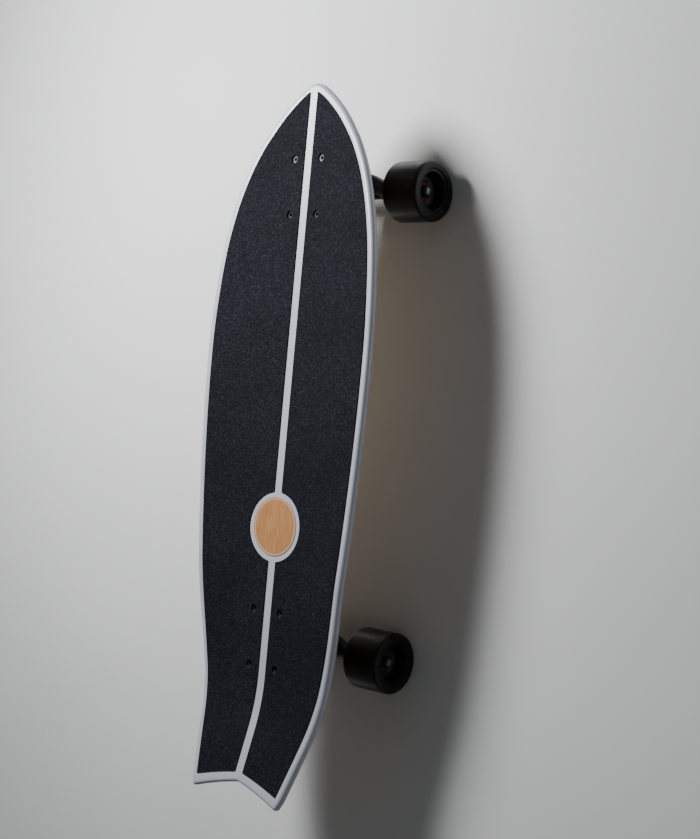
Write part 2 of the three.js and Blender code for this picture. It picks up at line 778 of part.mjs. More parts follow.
// What both ends share once the hanger stands: axle and wheels
function axleAndWheels(group, end, half, track, axleAt) {
  piece(group, `${end}_axle`, axleRod(half, track, axleAt), 'steel');
  wheel(group, `${end}_left`, 1, track, axleAt);
  wheel(group, `${end}_right`, -1, track, axleAt);
}

function hangerHalf(track) {
  return track / 2 - innerBearingDepth - bearingWidth - collarThickness - 2 * gap;
}

// Front truck
const frontTruck = new THREE.Group();
const frontPlateTop = deckTopHeight - deckThickness - frontRiserThickness;
frontTruck.position.set(frontPatternX, 0, frontPlateTop);
board.add(frontTruck);
riserPad(frontTruck, 'front', frontRiserThickness);
mountingBolts(frontTruck, 'front', frontRiserThickness);

// The swivel axis points down and leans back; its depths are measured from the plate's underside
const swivelTilt = THREE.MathUtils.degToRad(swivelDegrees);
const swivelTop = inPlane(swivelX, -plateThickness);
const swivelAxis = inPlane(-Math.sin(swivelTilt), -Math.cos(swivelTilt));
const swivelFront = inPlane(Math.cos(swivelTilt), -Math.sin(swivelTilt));
const thrustFrom = baseNeckHeight + gap;
const armNeckFrom = thrustFrom + thrustHeight + gap;
const hubBottom = armShelfDepth + armHubHeight;
const nutSeat = armShelfDepth + kingpinTail + washerThickness + overrun;

// Spring: a torsion spring round the swivel, its two tangs set in the plate and in the arm
const springFrom = springSeatDepth - tangPocketDepth + gap + springWire + springBend;
const springTo = armShelfDepth + tangPocketDepth - gap - springWire - springBend;

function springPath() {
  const points = [];
  const helix = (turns, depth) => {
    const angle = 2 * Math.PI * turns;
    return along(swivelTop, swivelAxis, depth)
      .addScaledVector(swivelFront, springRadius * Math.cos(angle))
      .addScaledVector(sideways, springRadius * Math.sin(angle));
  };
  const bendTurns = springBend / (2 * Math.PI * springRadius);
  const bendSteps = [0, 1, 2];
  points.push(helix(-bendTurns, springFrom - springBend - springWire));
  bendSteps.forEach((step) => {
    const angle = Math.PI * step / (2 * bendSteps.length);
    const depth = springFrom - springBend * (1 - Math.sin(angle));
    points.push(helix(-bendTurns * Math.cos(angle), depth));
  });
  const steps = 8 * springCurls;
  for (let i = 0; i <= steps; i += 1) {
    points.push(helix(springCurls * i / steps, springFrom + (springTo - springFrom) * i / steps));
  }
  bendSteps.reverse().forEach((step) => {
    const angle = Math.PI * step / (2 * bendSteps.length);
    const depth = springTo + springBend * (1 - Math.sin(angle));
    points.push(helix(springCurls + bendTurns * Math.cos(angle), depth));
  });
  points.push(helix(springCurls + bendTurns, springTo + springBend + springWire));
  return points;
}

// A wire of few sides along a list of points, its section carried along without twist
function wireAlong(points, radius, sides) {
  const rings = [];
  const forward = new THREE.Vector3();
  let across = sideways.clone();
  points.forEach((point, i) => {
    const before = points[Math.max(i - 1, 0)];
    const after = points[Math.min(i + 1, points.length - 1)];
    forward.subVectors(after, before).normalize();
    across = across.addScaledVector(forward, -across.dot(forward)).normalize();
    const third = new THREE.Vector3().crossVectors(forward, across);
    const loop = [];
    for (let k = 0; k < sides; k += 1) {
      const angle = 2 * Math.PI * k / sides;
      loop.push(along(along(point, across, radius * Math.cos(angle)), third, radius * Math.sin(angle)));
    }
    rings.push(loop);
    across = across.clone();
  });
  const list = [];
  for (let i = 0; i < rings.length - 1; i += 1) {
    for (let k = 0; k < sides; k += 1) {
      const next = (k + 1) % sides;
      addFace(list, rings[i][k], rings[i][next], rings[i + 1][next], rings[i + 1][k], false);
    }
  }
  const lastRing = rings[rings.length - 1];
  for (let k = 1; k < sides - 1; k += 1) {
    [rings[0][0], rings[0][k + 1], rings[0][k]].forEach((p) => list.push(p.x, p.y, p.z));
    [lastRing[0], lastRing[k], lastRing[k + 1]].forEach((p) => list.push(p.x, p.y, p.z));
  }
  return solid(geometryFrom(list));
}

const springPoints = springPath();
piece(frontTruck, 'swivel_spring', wireAlong(springPoints, springWire / 2, 5), 'steel');

// The spring's least gap to itself, measured between points at least half a curl apart
function leastGap(points) {
  let least = Infinity;
  points.forEach((point, i) => {
    points.slice(i + 5).forEach((other) => {
      least = Math.min(least, point.distanceTo(other));
    });
  });
  return least - springWire;
}

console.log(`swivel_spring: least gap to itself ${leastGap(springPoints).toFixed(2)} mm`);

// The pocket for a tang, drilled where the path's end lies
function tangPocket(end) {
  const deep = springWire + overrun;
  return rod(springWire / 2 + gap, -deep, deep, end, swivelAxis, ringSides);
}

// Front plate: footprint, flange, tilted spring seat and the short neck round the swivel bolt
function frontPlate() {
  const flange = roundedOutline([
    [0, -plateWidth / 2], [plateLength / 3, -plateWidth / 2], [swivelX, -hubFlangeRadius],
    [swivelX, hubFlangeRadius], [plateLength / 3, plateWidth / 2], [0, plateWidth / 2],
  ], armCorner);
  const body = joined(
    plate(footprint(), plateThickness, plateBevel, 3),
    plate(flange, plateThickness, plateBevel, 3),
    rod(hubFlangeRadius, -plateThickness, 0, inPlane(swivelX, 0), up, hubSides),
    rod(armHubRadius, -plateThickness / 3, springSeatDepth, swivelTop, swivelAxis, hubSides),
    rod(hubNeckRadius, 0, baseNeckHeight, swivelTop, swivelAxis, ringSides),
  );
  return cut(
    body,
    ...boltHoles(-plateThickness - overrun, overrun),
    rod(swivelBoltHeadRadius + gap, -plateThickness - 2 * overrun, 0, swivelTop, swivelAxis, ringSides),
    rod(swivelBoltRadius + gap, -overrun, baseNeckHeight + overrun, swivelTop, swivelAxis, ringSides),
    tangPocket(springPoints[0]),
  );
}

piece(frontTruck, 'front_baseplate', frontPlate(), 'blackMetal');

const nutFrom = nutSeat + gap;
const nutTo = nutFrom + swivelNutHeight;
const thrustTo = thrustFrom + thrustHeight;
const swivelBore = swivelBoltRadius + gap;
piece(frontTruck, 'swivel_pivot_bolt', joined(
  rod(swivelBoltHeadRadius, -swivelBoltHeadHeight - gap, -gap, swivelTop, swivelAxis, ringSides),
  rod(swivelBoltRadius, -2 * gap, nutTo + swivelBoltTail, swivelTop, swivelAxis, smallSides),
), 'steel');
piece(frontTruck, 'swivel_pivot_nut', cut(
  rod(swivelNutRadius, nutFrom, nutTo, swivelTop, swivelAxis, hexSides),
  rod(swivelBore, nutSeat, nutTo + overrun, swivelTop, swivelAxis, ringSides),
), 'steel');
piece(frontTruck, 'swivel_thrust_bearing', ring(
  swivelBore, thrustRadius, thrustFrom, thrustTo, swivelTop, swivelAxis, ringSides,
), 'steel');

// Where the front hanger leans: an axis that rises to the nose and passes above the axle
const frontAxleAt = inPlane(frontAxleX, -frontAxleDrop);
const frontLean = THREE.MathUtils.degToRad(frontLeanDegrees);
const frontLeanAxis = inPlane(Math.cos(frontLean), Math.sin(frontLean));
const frontKingpinAxis = inPlane(Math.sin(frontLean), -Math.cos(frontLean));
const frontLeanAt = along(frontAxleAt, frontKingpinAxis, -frontRake);
const frontRingAt = along(frontLeanAt, frontLeanAxis, frontRingReach);
const frontPivotAt = along(frontLeanAt, frontLeanAxis, -frontPivotReach);
const frontHeadAt = -stackTo - kingpinGrip;

// Swivel arm: hub, beam with the kingpin's seat, and the leg that carries the pivot cup
function swivelArm() {
  const seatAt = along(frontRingAt, frontKingpinAxis, -stackTo - armBevel);
  const shelfRim = along(along(swivelTop, swivelAxis, armShelfDepth), swivelFront, -armHubRadius);
  const hubHigh = along(swivelTop, swivelAxis, armShelfDepth + armBevel);
  const hubLow = along(swivelTop, swivelAxis, hubBottom - armBevel);
  const bottomRim = along(hubLow, swivelFront, -armHubRadius);
  const seatFront = along(seatAt, frontLeanAxis, seatRadius + armCorner / 2);
  const seatBack = along(seatAt, frontLeanAxis, -seatRadius - armCorner);
  const bossMouth = along(along(frontPivotAt, frontLeanAxis, cupMouth), frontKingpinAxis, -cupBossRadius);
  const bossEnd = cupBottom - gap - cupBossFloor;
  const bossTail = along(frontPivotAt, frontLeanAxis, bossEnd + armBevel);
  const bossHeel = along(bossTail, frontKingpinAxis, -cupBossRadius);
  const outline = roundedOutline([
    [armInnerX, -armTopDrop], [shelfRim.x - armCorner, -armTopDrop], [shelfRim.x, shelfRim.z - armBevel],
    [hubHigh.x, hubHigh.z], [hubLow.x, hubLow.z], [bottomRim.x, bottomRim.z], [seatFront.x, seatFront.z],
    [seatBack.x, seatBack.z], [bossMouth.x, bossMouth.z], [bossTail.x, bossTail.z],
    [bossHeel.x, bossHeel.z], [armInnerX, -armHeelDrop],
  ], armCorner);
  const body = joined(
    sideProfile(outline, armWidth, armBevel, 2),
    rod(armHubRadius, armShelfDepth, hubBottom, swivelTop, swivelAxis, hubSides),
    rod(hubNeckRadius, armNeckFrom, armShelfDepth + armBevel, swivelTop, swivelAxis, ringSides),
    rod(seatRadius, -stackTo - kingpinGrip, -stackTo, frontRingAt, frontKingpinAxis, hubSides),
    turned([
      [0, bossEnd], [cupRadius, bossEnd], [cupBossRadius, bossEnd / 2], [cupBossRadius, cupMouth - gap],
      [0, cupMouth - gap],
    ], frontPivotAt, frontLeanAxis, hubSides),
  );
  const [wall, ribDrop] = [armInnerX + armRib, armHeelDrop - armRib];
  const headSide = along(along(frontRingAt, frontKingpinAxis, frontHeadAt),
    frontLeanAxis, -kingpinPocketRadius - armRib);
  const besideHead = (drop) => headSide.x + (drop + headSide.z) * Math.tan(frontLean);
  const legPocket = [
    [wall, -ribDrop - armRib], [seatBack.x - armRib, -ribDrop - armRib],
    [bossMouth.x - armRib, bossMouth.z], [bossMouth.x - armRib, bossTail.z + 2 * armRib],
  ];
  const beamPocket = [
    [wall, -armTopDrop - armRib], [besideHead(armTopDrop + armRib), -armTopDrop - armRib],
    [besideHead(ribDrop), -ribDrop], [wall, -ribDrop],
  ];
  const pocketDepth = (armWidth - armWebThickness) / 2;
  const pockets = [legPocket, beamPocket].flatMap((corners) => [-1, 1].map((side) => sideProfile(
    roundedOutline(corners, armCorner), 2 * pocketDepth, 0, 2).translate(0, side * armWidth / 2, 0)));
  return cut(
    body,
    ...pockets,
    rod(kingpinRadius + gap, -2 * stackTo, 0, frontRingAt, frontKingpinAxis, ringSides),
    rod(kingpinPocketRadius, -3 * stackTo, frontHeadAt, frontRingAt, frontKingpinAxis, ringSides),
    cupBore(frontPivotAt, frontLeanAxis),
    rod(swivelBoltRadius + gap, 0, 2 * hubBottom, swivelTop, swivelAxis, ringSides),
    rod(swivelNutRadius + 2 * gap, nutSeat, 2 * hubBottom, swivelTop, swivelAxis, ringSides),
    tangPocket(springPoints[springPoints.length - 1]),
  );
}

piece(frontTruck, 'swivel_arm', swivelArm(), 'blackMetal');
piece(frontTruck, 'front_pivot_cup', pivotCup(frontPivotAt, frontLeanAxis), 'bushing');
kingpinStack(frontTruck, 'front', frontRingAt, frontKingpinAxis, frontHeadAt);

// Rows run from the wheel to the middle: place across, reach, lift, length and thickness
const frontHangerShares = [
  [1, 0, 0, 1, 1], [0.8, 0, 0, 1.02, 1], [0.6, 0.11, 0.15, 1.28, 1.03], [0.385, 0.32, 0.5, 1.68, 1.05],
  [0.19, 0.5, 0.9, 2.05, 1.1], [0, 0.55, 1, 2.15, 1.1],
];
const frontHalf = hangerHalf(frontTrack);
piece(frontTruck, 'front_hanger', cut(
  joined(
    cut(
      hangerBody(frontHalf, frontAxleAt, frontRingReach, frontRake, frontLeanAxis, frontHangerShares),
      ...kingpinCuts(frontRingAt, frontKingpinAxis).slice(0, 2),
    ),
    rod(ringRadius, -ringFace, ringFace, frontRingAt, frontKingpinAxis, hubSides),
    pivotPin(frontPivotAt, frontLeanAxis, frontPivotReach),
  ),
  kingpinCuts(frontRingAt, frontKingpinAxis)[2],
  axleBore(frontHalf, frontAxleAt),
), 'blackMetal');
axleAndWheels(frontTruck, 'front', frontHalf, frontTrack, frontAxleAt);

// Rear truck
const rearTruck = new THREE.Group();
rearTruck.position.set(rearPatternX, 0, deckTopHeight - deckThickness - rearRiserThickness);
board.add(rearTruck);
riserPad(rearTruck, 'rear', rearRiserThickness);
mountingBolts(rearTruck, 'rear', rearRiserThickness);

// Its hanger leans on the line from the ring up to the pivot at the tail side
const rearAxleAt = inPlane(rearAxleX, deckThickness + rearRiserThickness - axleDrop);
const rearRingAt = inPlane(rearRingX, -rearRingDrop);
const rearPivotAt = inPlane(rearPivotX, -rearPivotDrop);
const rearKingpinAngle = THREE.MathUtils.degToRad(rearKingpinDegrees);
const rearKingpinAxis = inPlane(Math.sin(rearKingpinAngle), -Math.cos(rearKingpinAngle));
const rearLeanAxis = rearPivotAt.clone().sub(rearRingAt).normalize();
const rearCupAxis = rearLeanAxis.clone().negate();
const rearHeadAt = -(rearRingDrop - rearPocketDepth) / Math.cos(rearKingpinAngle);

// Rear plate: footprint, the post that the kingpin runs down in and the block round the pivot cup
function rearPlate() {
  const bossEnd = cupBottom - gap - cupBossFloor;
  const bossTop = along(rearPivotAt, rearCupAxis, bossEnd + armBevel);
  const bossLip = along(rearPivotAt, rearCupAxis, cupMouth - armBevel);
  const bossSide = new THREE.Vector3(-rearCupAxis.z, 0, rearCupAxis.x);
  const tailLow = along(bossTop, bossSide, -cupRadius);
  const lipLow = along(bossLip, bossSide, -cupBossRadius);
  const lipHigh = along(bossLip, bossSide, cupBossRadius);
  const plateMiddle = -plateThickness / 2;
  const outline = roundedOutline([
    [-plateLength / 2, plateMiddle], [tailLow.x, tailLow.z], [lipLow.x, lipLow.z], [lipHigh.x, lipHigh.z],
    [lipHigh.x + cupRadius, plateMiddle],
  ], armCorner);
  const postStart = -rearRingDrop / Math.cos(rearKingpinAngle);
  const post = turned([
    [0, postStart], [postTopRadius, postStart], [seatRadius, -stackTo - kingpinGrip],
    [seatRadius, -stackTo], [0, -stackTo],
  ], rearRingAt, rearKingpinAxis, hubSides);
  const above = plate(footprint(), postTopRadius, 0, 1).translate(0, 0, postTopRadius - plateThickness / 2);
  const body = joined(
    plate(footprint(), plateThickness, plateBevel, 3),
    sideProfile(outline, pivotBlockWidth, armBevel, 2),
    turned([
      [0, bossEnd], [cupRadius, bossEnd], [cupBossRadius, bossEnd / 2], [cupBossRadius, cupMouth - gap],
      [0, cupMouth - gap],
    ], rearPivotAt, rearCupAxis, hubSides),
    cut(post, above),
  );
  return cut(
    body,
    ...boltHoles(-plateThickness - overrun, overrun),
    rod(kingpinRadius + gap, 2 * rearHeadAt, 0, rearRingAt, rearKingpinAxis, ringSides),
    rod(kingpinPocketRadius, 2 * rearHeadAt, rearHeadAt, rearRingAt, rearKingpinAxis, ringSides),
    cupBore(rearPivotAt, rearCupAxis),
  );
}

piece(rearTruck, 'rear_baseplate', rearPlate(), 'blackMetal');
piece(rearTruck, 'rear_pivot_cup', pivotCup(rearPivotAt, rearCupAxis), 'bushing');
kingpinStack(rearTruck, 'rear', rearRingAt, rearKingpinAxis, rearHeadAt);

const rearHangerShares = [
  [1, 0, 0, 1, 1], [0.65, 0, 0, 1.01, 1], [0.5, 0.04, 0, 1.15, 1], [0.36, 0.22, 0, 1.75, 0.95],
  [0.18, 0.41, 0, 2.3, 0.93], [0, 0.48, 0, 2.5, 0.93],
];
const rearHalf = hangerHalf(rearTrack);

function rearHanger() {
  const reachAxis = rearRingAt.clone().sub(rearAxleAt).normalize();
  const reach = rearRingAt.distanceTo(rearAxleAt);
  const elbow = along(rearPivotAt, rearCupAxis, pivotPinLength + pivotRootRadius / 2);
  const armTo = along(rearAxleAt, reachAxis, pivotRootRadius);
  const armReach = elbow.distanceTo(armTo);
  const armAxis = armTo.clone().sub(elbow).normalize();
  const round = pivotRootRadius * Math.SQRT1_2;
  const pivotArm = turned([
    [0, -pivotRootRadius], [round, -round], [pivotRootRadius, 0],
    [pivotArmRadius, armReach / 2], [pivotArmRadius, armReach], [0, armReach],
  ], elbow, armAxis, hubSides);
  const pockets = kingpinCuts(rearRingAt, rearKingpinAxis);
  return cut(
    joined(
      cut(
        joined(
          hangerBody(rearHalf, rearAxleAt, reach, 0, reachAxis, rearHangerShares),
          pivotArm,
          pivotPin(rearPivotAt, rearCupAxis, pivotPinLength + pivotRootRadius / 2),
        ),
        pockets[0],
        pockets[1],
      ),
      rod(ringRadius, -ringFace, ringFace, rearRingAt, rearKingpinAxis, hubSides),
    ),
    pockets[2],
    axleBore(rearHalf, rearAxleAt),
  );
}

piece(rearTruck, 'rear_hanger', rearHanger(), 'blackMetal');
axleAndWheels(rearTruck, 'rear', rearHalf, rearTrack, rearAxleAt);

export default board;
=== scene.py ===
# Surf skateboard: a pressed swallow-tailed deck on a fixed rear truck and a front truck that
# swivels on a sprung arm. Shapes are worked out in millimetres in the frame of the CAD, +X to
# the nose and +Z up, and make_piece turns them into Blender's metres.
import math

import bmesh
import bpy
import numpy as np
from mathutils import Matrix, Vector


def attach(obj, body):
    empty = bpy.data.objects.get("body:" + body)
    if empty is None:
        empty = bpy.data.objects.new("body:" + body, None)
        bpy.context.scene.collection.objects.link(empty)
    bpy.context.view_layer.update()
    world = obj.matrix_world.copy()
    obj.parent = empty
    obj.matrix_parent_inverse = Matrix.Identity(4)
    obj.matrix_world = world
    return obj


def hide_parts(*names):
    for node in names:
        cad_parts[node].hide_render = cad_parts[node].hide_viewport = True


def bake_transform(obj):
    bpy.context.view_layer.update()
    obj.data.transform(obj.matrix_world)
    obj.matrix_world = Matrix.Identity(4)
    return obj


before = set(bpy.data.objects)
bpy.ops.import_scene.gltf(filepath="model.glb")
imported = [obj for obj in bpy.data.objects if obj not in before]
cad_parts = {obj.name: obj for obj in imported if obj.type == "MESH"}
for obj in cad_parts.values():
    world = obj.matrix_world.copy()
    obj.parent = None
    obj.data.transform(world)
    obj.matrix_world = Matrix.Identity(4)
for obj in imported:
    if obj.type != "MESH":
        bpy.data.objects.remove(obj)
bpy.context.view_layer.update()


# Studio: a plain pale floor under the wheels, a soft light above the nose on the left and a weak
# one that fills the near side, and the camera at the angle of the picture.
def unit(vector):
    """A direction of length one."""
    vector = np.asarray(vector, float)
    return vector / np.linalg.norm(vector)


def aimed(thing, place, towards, top):
    """Puts a light or the camera, unseen itself, at a place. It looks towards a point and keeps
    a direction up."""
    back = unit(np.asarray(place, float) - np.asarray(towards, float))
    right = unit(np.cross(top, back))
    turn = Matrix(np.column_stack([right, np.cross(back, right), back]).tolist())
    thing.matrix_world = Matrix.Translation(Vector(place)) @ turn.to_4x4()
    thing.visible_camera = False
    bpy.context.scene.collection.objects.link(thing)


camera_place = np.array([0.02453, -1.24480, 1.38184])
camera_right = unit([0.09009, -0.73626, -0.67068])
camera_up = unit([0.99593, 0.06524, 0.06216])
camera_back = np.cross(camera_right, camera_up)
camera_data = bpy.data.cameras.new("camera")
camera_data.lens = 67.008
camera_data.sensor_width = 36
camera_data.dof.use_dof = False
camera = bpy.data.objects.new("camera", camera_data)
aimed(camera, camera_place, camera_place - camera_back, camera_up)
bpy.context.scene.camera = camera

for light_name, place, towards, size, power in (
    ("key_light", (0.57, 0.45, 0.81), (0.1, 0, 0.05), 0.36, 22),
    ("fill_light", (-0.5, -1.8, 1.3), (0, 0, 0.1), 0.4, 1.2),
):
    light_data = bpy.data.lights.new(light_name, "AREA")
    light_data.shape = "SQUARE"
    light_data.size = size
    light_data.energy = power
    aimed(bpy.data.objects.new(light_name, light_data), place, towards, (0, 0, 1))

world = bpy.data.worlds.new("studio")
world.use_nodes = True
world.node_tree.nodes["Background"].inputs["Color"].default_value = (0.86, 0.88, 0.9, 1)
world.node_tree.nodes["Background"].inputs["Strength"].default_value = 0.1
bpy.context.scene.world = world


def new_finish(name, color, roughness, metallic=0.0, **sockets):
    """A material and its shader, with what is the same all over set on the shader's sockets."""
    finish = bpy.data.materials.new(name)
    finish.use_nodes = True
    finish.diffuse_color = (*color, 1)
    shader = finish.node_tree.nodes["Principled BSDF"]
    shader.inputs["Base Color"].default_value = (*color, 1)
    shader.inputs["Roughness"].default_value = roughness
    shader.inputs["Metallic"].default_value = metallic
    for socket, value in sockets.items():
        shader.inputs[socket.replace("_", " ")].default_value = value
    return finish, shader


def add_node(finish, kind, sockets=(), **settings):
    """A node of a material. sockets gives for each input a value, or the output that feeds it."""
    node = finish.node_tree.nodes.new("ShaderNode" + kind)
    for setting, value in settings.items():
        setattr(node, setting, value)
    for socket, value in dict(sockets).items():
        if isinstance(value, bpy.types.NodeSocket):
            finish.node_tree.links.new(value, node.inputs[socket])
        else:
            node.inputs[socket].default_value = value
    return node


def place_of(finish, scale=(1, 1, 1), turn=(0, 0, 0), shift=(0, 0, 0)):
    """A point's place on the piece in millimetres times scale, turned and shifted."""
    where = add_node(finish, "TexCoord")
    stretch = tuple(1000 * share for share in scale)
    return add_node(finish, "Mapping", {
        "Vector": where.outputs["Object"], "Location": shift, "Rotation": turn, "Scale": stretch,
    }).outputs["Vector"]


def noise(finish, size, detail=3.0, vector=None, rough=0.5, distortion=0.0):
    """Cloudy variation from 0 to 1 whose clouds are about `size` millimetres wide."""
    vector = place_of(finish) if vector is None else vector
    return add_node(finish, "TexNoise", {
        "Vector": vector, "Scale": 1 / size, "Detail": detail, "Roughness": rough,
        "Distortion": distortion,
    }).outputs[0]


def ramp(finish, value, *stops):
    """A colour that runs through (place, colour) stops as value goes from 0 to 1."""
    node = add_node(finish, "ValToRGB", {"Fac": value})
    elements = node.color_ramp.elements
    while len(elements) < len(stops):
        elements.new(1)
    for element, (place, color) in zip(elements, stops):
        element.position = place
        element.color = (*color, 1) if hasattr(color, "__len__") else (color, color, color, 1)
    return node.outputs["Color"]


def spread(finish, value, low, high, start=0.0, end=1.0):
    """value between start and end turned into a number between low and high."""
    return add_node(finish, "MapRange", {
        "Value": value, "From Min": start, "From Max": end, "To Min": low, "To Max": high,
    }).outputs["Result"]


def mixed(finish, share, first, second):
    """One colour over another by a share from 0 to 1."""
    node = add_node(finish, "Mix", data_type="RGBA")
    for index, value in ((0, share), (6, first), (7, second)):
        if isinstance(value, bpy.types.NodeSocket):
            finish.node_tree.links.new(value, node.inputs[index])
        elif index:
            node.inputs[index].default_value = (*value, 1)
        else:
            node.inputs[index].default_value = value
    return node.outputs[2]


def feed(finish, shader, color, roughness=None, height=None, depth=0.0):
    """Links a colour, a roughness and a bump height of `depth` millimetres to the shader."""
    for socket, value in (("Base Color", color), ("Roughness", roughness)):
        if value is not None:
            finish.node_tree.links.new(value, shader.inputs[socket])
    if height is not None:
        bump = add_node(finish, "Bump", {"Height": height, "Distance": depth / 1000})
        finish.node_tree.links.new(bump.outputs["Normal"], shader.inputs["Normal"])


def clouded(name, color, roughness, clouds, stops, dulling=None, grain=None, metallic=0.0,
            **sockets):
    """A finish whose clouds of (size, detail, roughness) run through colour stops and, with
    dulling, between its two roughnesses. grain is the (size, detail, depth) of a bump."""
    finish, shader = new_finish(name, color, roughness, metallic, **sockets)
    size, detail, rough = clouds
    tone = noise(finish, size, detail, rough=rough)
    feed(finish, shader, ramp(finish, tone, *stops),
         spread(finish, tone, *dulling) if dulling else None,
         noise(finish, *grain[:2]) if grain else None, grain[2] if grain else 0.0)
    return finish


floor_paint = clouded("floor_paint", (0.74, 0.745, 0.75), 0.85, (400, 2, 0.5),
                      [(0.3, (0.72, 0.725, 0.73)), (0.7, (0.76, 0.765, 0.77))],
                      grain=(1.2, 4, 0.05))
floor_mesh = bpy.data.meshes.new("floor")
floor_mesh.from_pydata([(-6, -6, 0), (6, -6, 0), (6, 6, 0), (-6, 6, 0)], [], [(0, 1, 2, 3)])
floor_mesh.materials.append(floor_paint)
floor = bpy.data.objects.new("floor", floor_mesh)
bpy.context.scene.collection.objects.link(floor)


# Deck: maple veneers pressed in a mould, so the rails rise beside a flat middle and the tail
# kicks up. It is cut to a pointed nose and a swallow tail, rounded along the rails, sprayed a
# cool white on top and round the edge, and left clear-coated maple underneath.
deck_length, deck_width, deck_thickness = 809.7, 255.2, 11.0
half_length, half_width = deck_length / 2, deck_width / 2
# The tyres of the CAD stand on the middles of 24 flats, and so does the whole board here.
tyre_radius = 35 * math.cos(math.pi / 24)
deck_top = tyre_radius + 90
rail_rounding, arc_steps, nose_reach = 5.0, 14, 34
dish_height, dish_start, dish_run = 12.5, -281, 140
kick_start, kick_radius, kick_angle = -269, 216, math.radians(16)
tail_corner = np.array([-1.00494 * half_length, 0.53683 * half_width])
notch = np.array([-0.95776 * half_length, 0.0])
tail_bow = 1.5
rail_points = np.array([
    [-0.915, 0.609], [-0.767, 0.716], [-0.57, 0.825], [-0.372, 0.901], [-0.175, 0.953],
    [0.023, 0.987], [0.196, 1], [0.344, 0.99], [0.517, 0.938], [0.64, 0.857], [0.739, 0.75],
    [0.813, 0.631], [0.862, 0.525], [0.912, 0.3945], [0.949, 0.273], [0.9735, 0.178],
    [0.9895, 0.102], [0.9974, 0.047], [1, 0], [0.9974, -0.047],
]) * (half_length, half_width)
front_pattern_x, rear_pattern_x = 286.25, -227.75
bolt_offsets = np.array([(x * 31.75, y * 20.65) for x in (-1, 1) for y in (-1, 1)])
bolt_sunk, bolt_hole, bolt_clearance = 0.5, 4.6, 2.7


def rise(x, y):
    """How far the deck's top stands over its flat: the dish's height times |y / half width|^2.2,
    faded in towards the nose, plus a kick that follows an arc and then the arc's last tangent."""
    fade = np.clip((x - dish_start) / dish_run, 0, 1)
    dish = dish_height * fade**2 * (3 - 2 * fade) * np.abs(y / half_width) ** 2.2
    past = np.maximum(kick_start - x, 0)
    arc = kick_radius * math.sin(kick_angle)
    on_arc = kick_radius - np.sqrt(kick_radius**2 - np.minimum(past, arc) ** 2)
    return dish + on_arc + np.maximum(past - arc, 0) * math.tan(kick_angle)


def spline(points, share):
    """A Catmull-Rom curve: between two points a cubic whose end slopes are half the distance
    between the points beside them."""
    last = len(points) - 1
    place = np.clip(share, 0, 1) * last
    i = np.minimum(place.astype(int), last - 1)
    w = (place - i)[:, None]
    a, b, c, d = (points[np.clip(i + k, 0, last)] for k in (-1, 0, 1, 2))
    slope_b, slope_c = (c - a) / 2, (d - b) / 2
    cubic = (2 * b - 2 * c + slope_b + slope_c) * w - 3 * b + 3 * c - 2 * slope_b - slope_c
    return cubic * w**2 + slope_b * w + b


def lengths(points):
    """The distance along a line of points from its start to each point."""
    return np.concatenate([[0], np.cumsum(np.linalg.norm(np.diff(points, axis=0), axis=1))])


def inward(points):
    """The direction into the deck at each point of an outline that runs tail, left rail, nose."""
    along = np.gradient(points, lengths(points), axis=0)
    along /= np.linalg.norm(along, axis=1)[:, None]
    return np.column_stack([along[:, 1], -along[:, 0]])


def tail_edge(share):
    """The left tail edge from the notch to the corner: a parabola bowed by tail_bow."""
    control = (notch + tail_corner) / 2 + (2 * tail_bow, 0)
    s = np.asarray(share, float)[:, None]
    return (1 - s) ** 2 * notch + 2 * s * (1 - s) * control + s**2 * tail_corner


def left_rail(share):
    """The left rail from the tail corner to the nose tip: a spline through the rail's points."""
    knots = np.vstack([tail_corner, rail_points])
    return spline(knots, np.asarray(share, float) * (len(knots) - 2) / (len(knots) - 1))


def rounded_corner(before, corner, after, radius):
    """An arc of a radius that touches two straight lines that meet at a corner, and how far
    from the corner it starts: the radius times the tangent of half the turn."""
    enter, leave = unit(corner - before), unit(after - corner)
    half_turn = math.acos(float(np.clip(enter @ leave, -1, 1))) / 2
    trim = radius * math.tan(half_turn)
    side = np.sign(enter[0] * leave[1] - enter[1] * leave[0])
    centre = corner - enter * trim + side * radius * np.array([-enter[1], enter[0]])
    start = corner - enter * trim - centre
    angle = np.linspace(0, side * 2 * half_turn, arc_steps)
    turn = np.array([[np.cos(angle), -np.sin(angle)], [np.sin(angle), np.cos(angle)]])
    return centre + np.einsum("ijk,j->ki", turn, start), trim


# The left half of the outline, from the middle of the notch round the tail corner to the nose,
# with its two corners eased by a router.
edge_line, rail_line = tail_edge(np.linspace(0, 1, 400)), left_rail(np.linspace(0, 1, 4000))
corner_arc, corner_trim = rounded_corner(edge_line[-8], tail_corner, rail_line[12], 5.6)
notch_arc, notch_trim = rounded_corner(edge_line[8] * (1, -1), notch, edge_line[8], 2.2)
edge_line = edge_line[(lengths(edge_line) > notch_trim)
                      & (lengths(edge_line) < lengths(edge_line)[-1] - corner_trim)]
rail_line = rail_line[lengths(rail_line) > corner_trim]
half_notch = notch_arc[arc_steps // 2:]
half_outline = np.vstack([half_notch, edge_line, corner_arc, rail_line])
half_outline[0, 1] = half_outline[-1, 1] = 0
outline_inward = inward(half_outline)
outline_inward[0], outline_inward[-1] = (1, 0), (-1, 0)
outline_at = lengths(half_outline)
corner_from = len(half_notch) + len(edge_line)
arc_start, arc_end = outline_at[[corner_from, corner_from + arc_steps - 1]]
corner_at = arc_start + (arc_end - arc_start) / 2


def outline_points(distance, inset):
    """Points of the left half of the outline at distances along it, moved into the deck."""
    place, into = (
        np.column_stack([np.interp(distance, outline_at, line[:, k]) for k in (0, 1)])
        for line in (half_outline, outline_inward))
    return place + inset * into / np.linalg.norm(into, axis=1)[:, None]


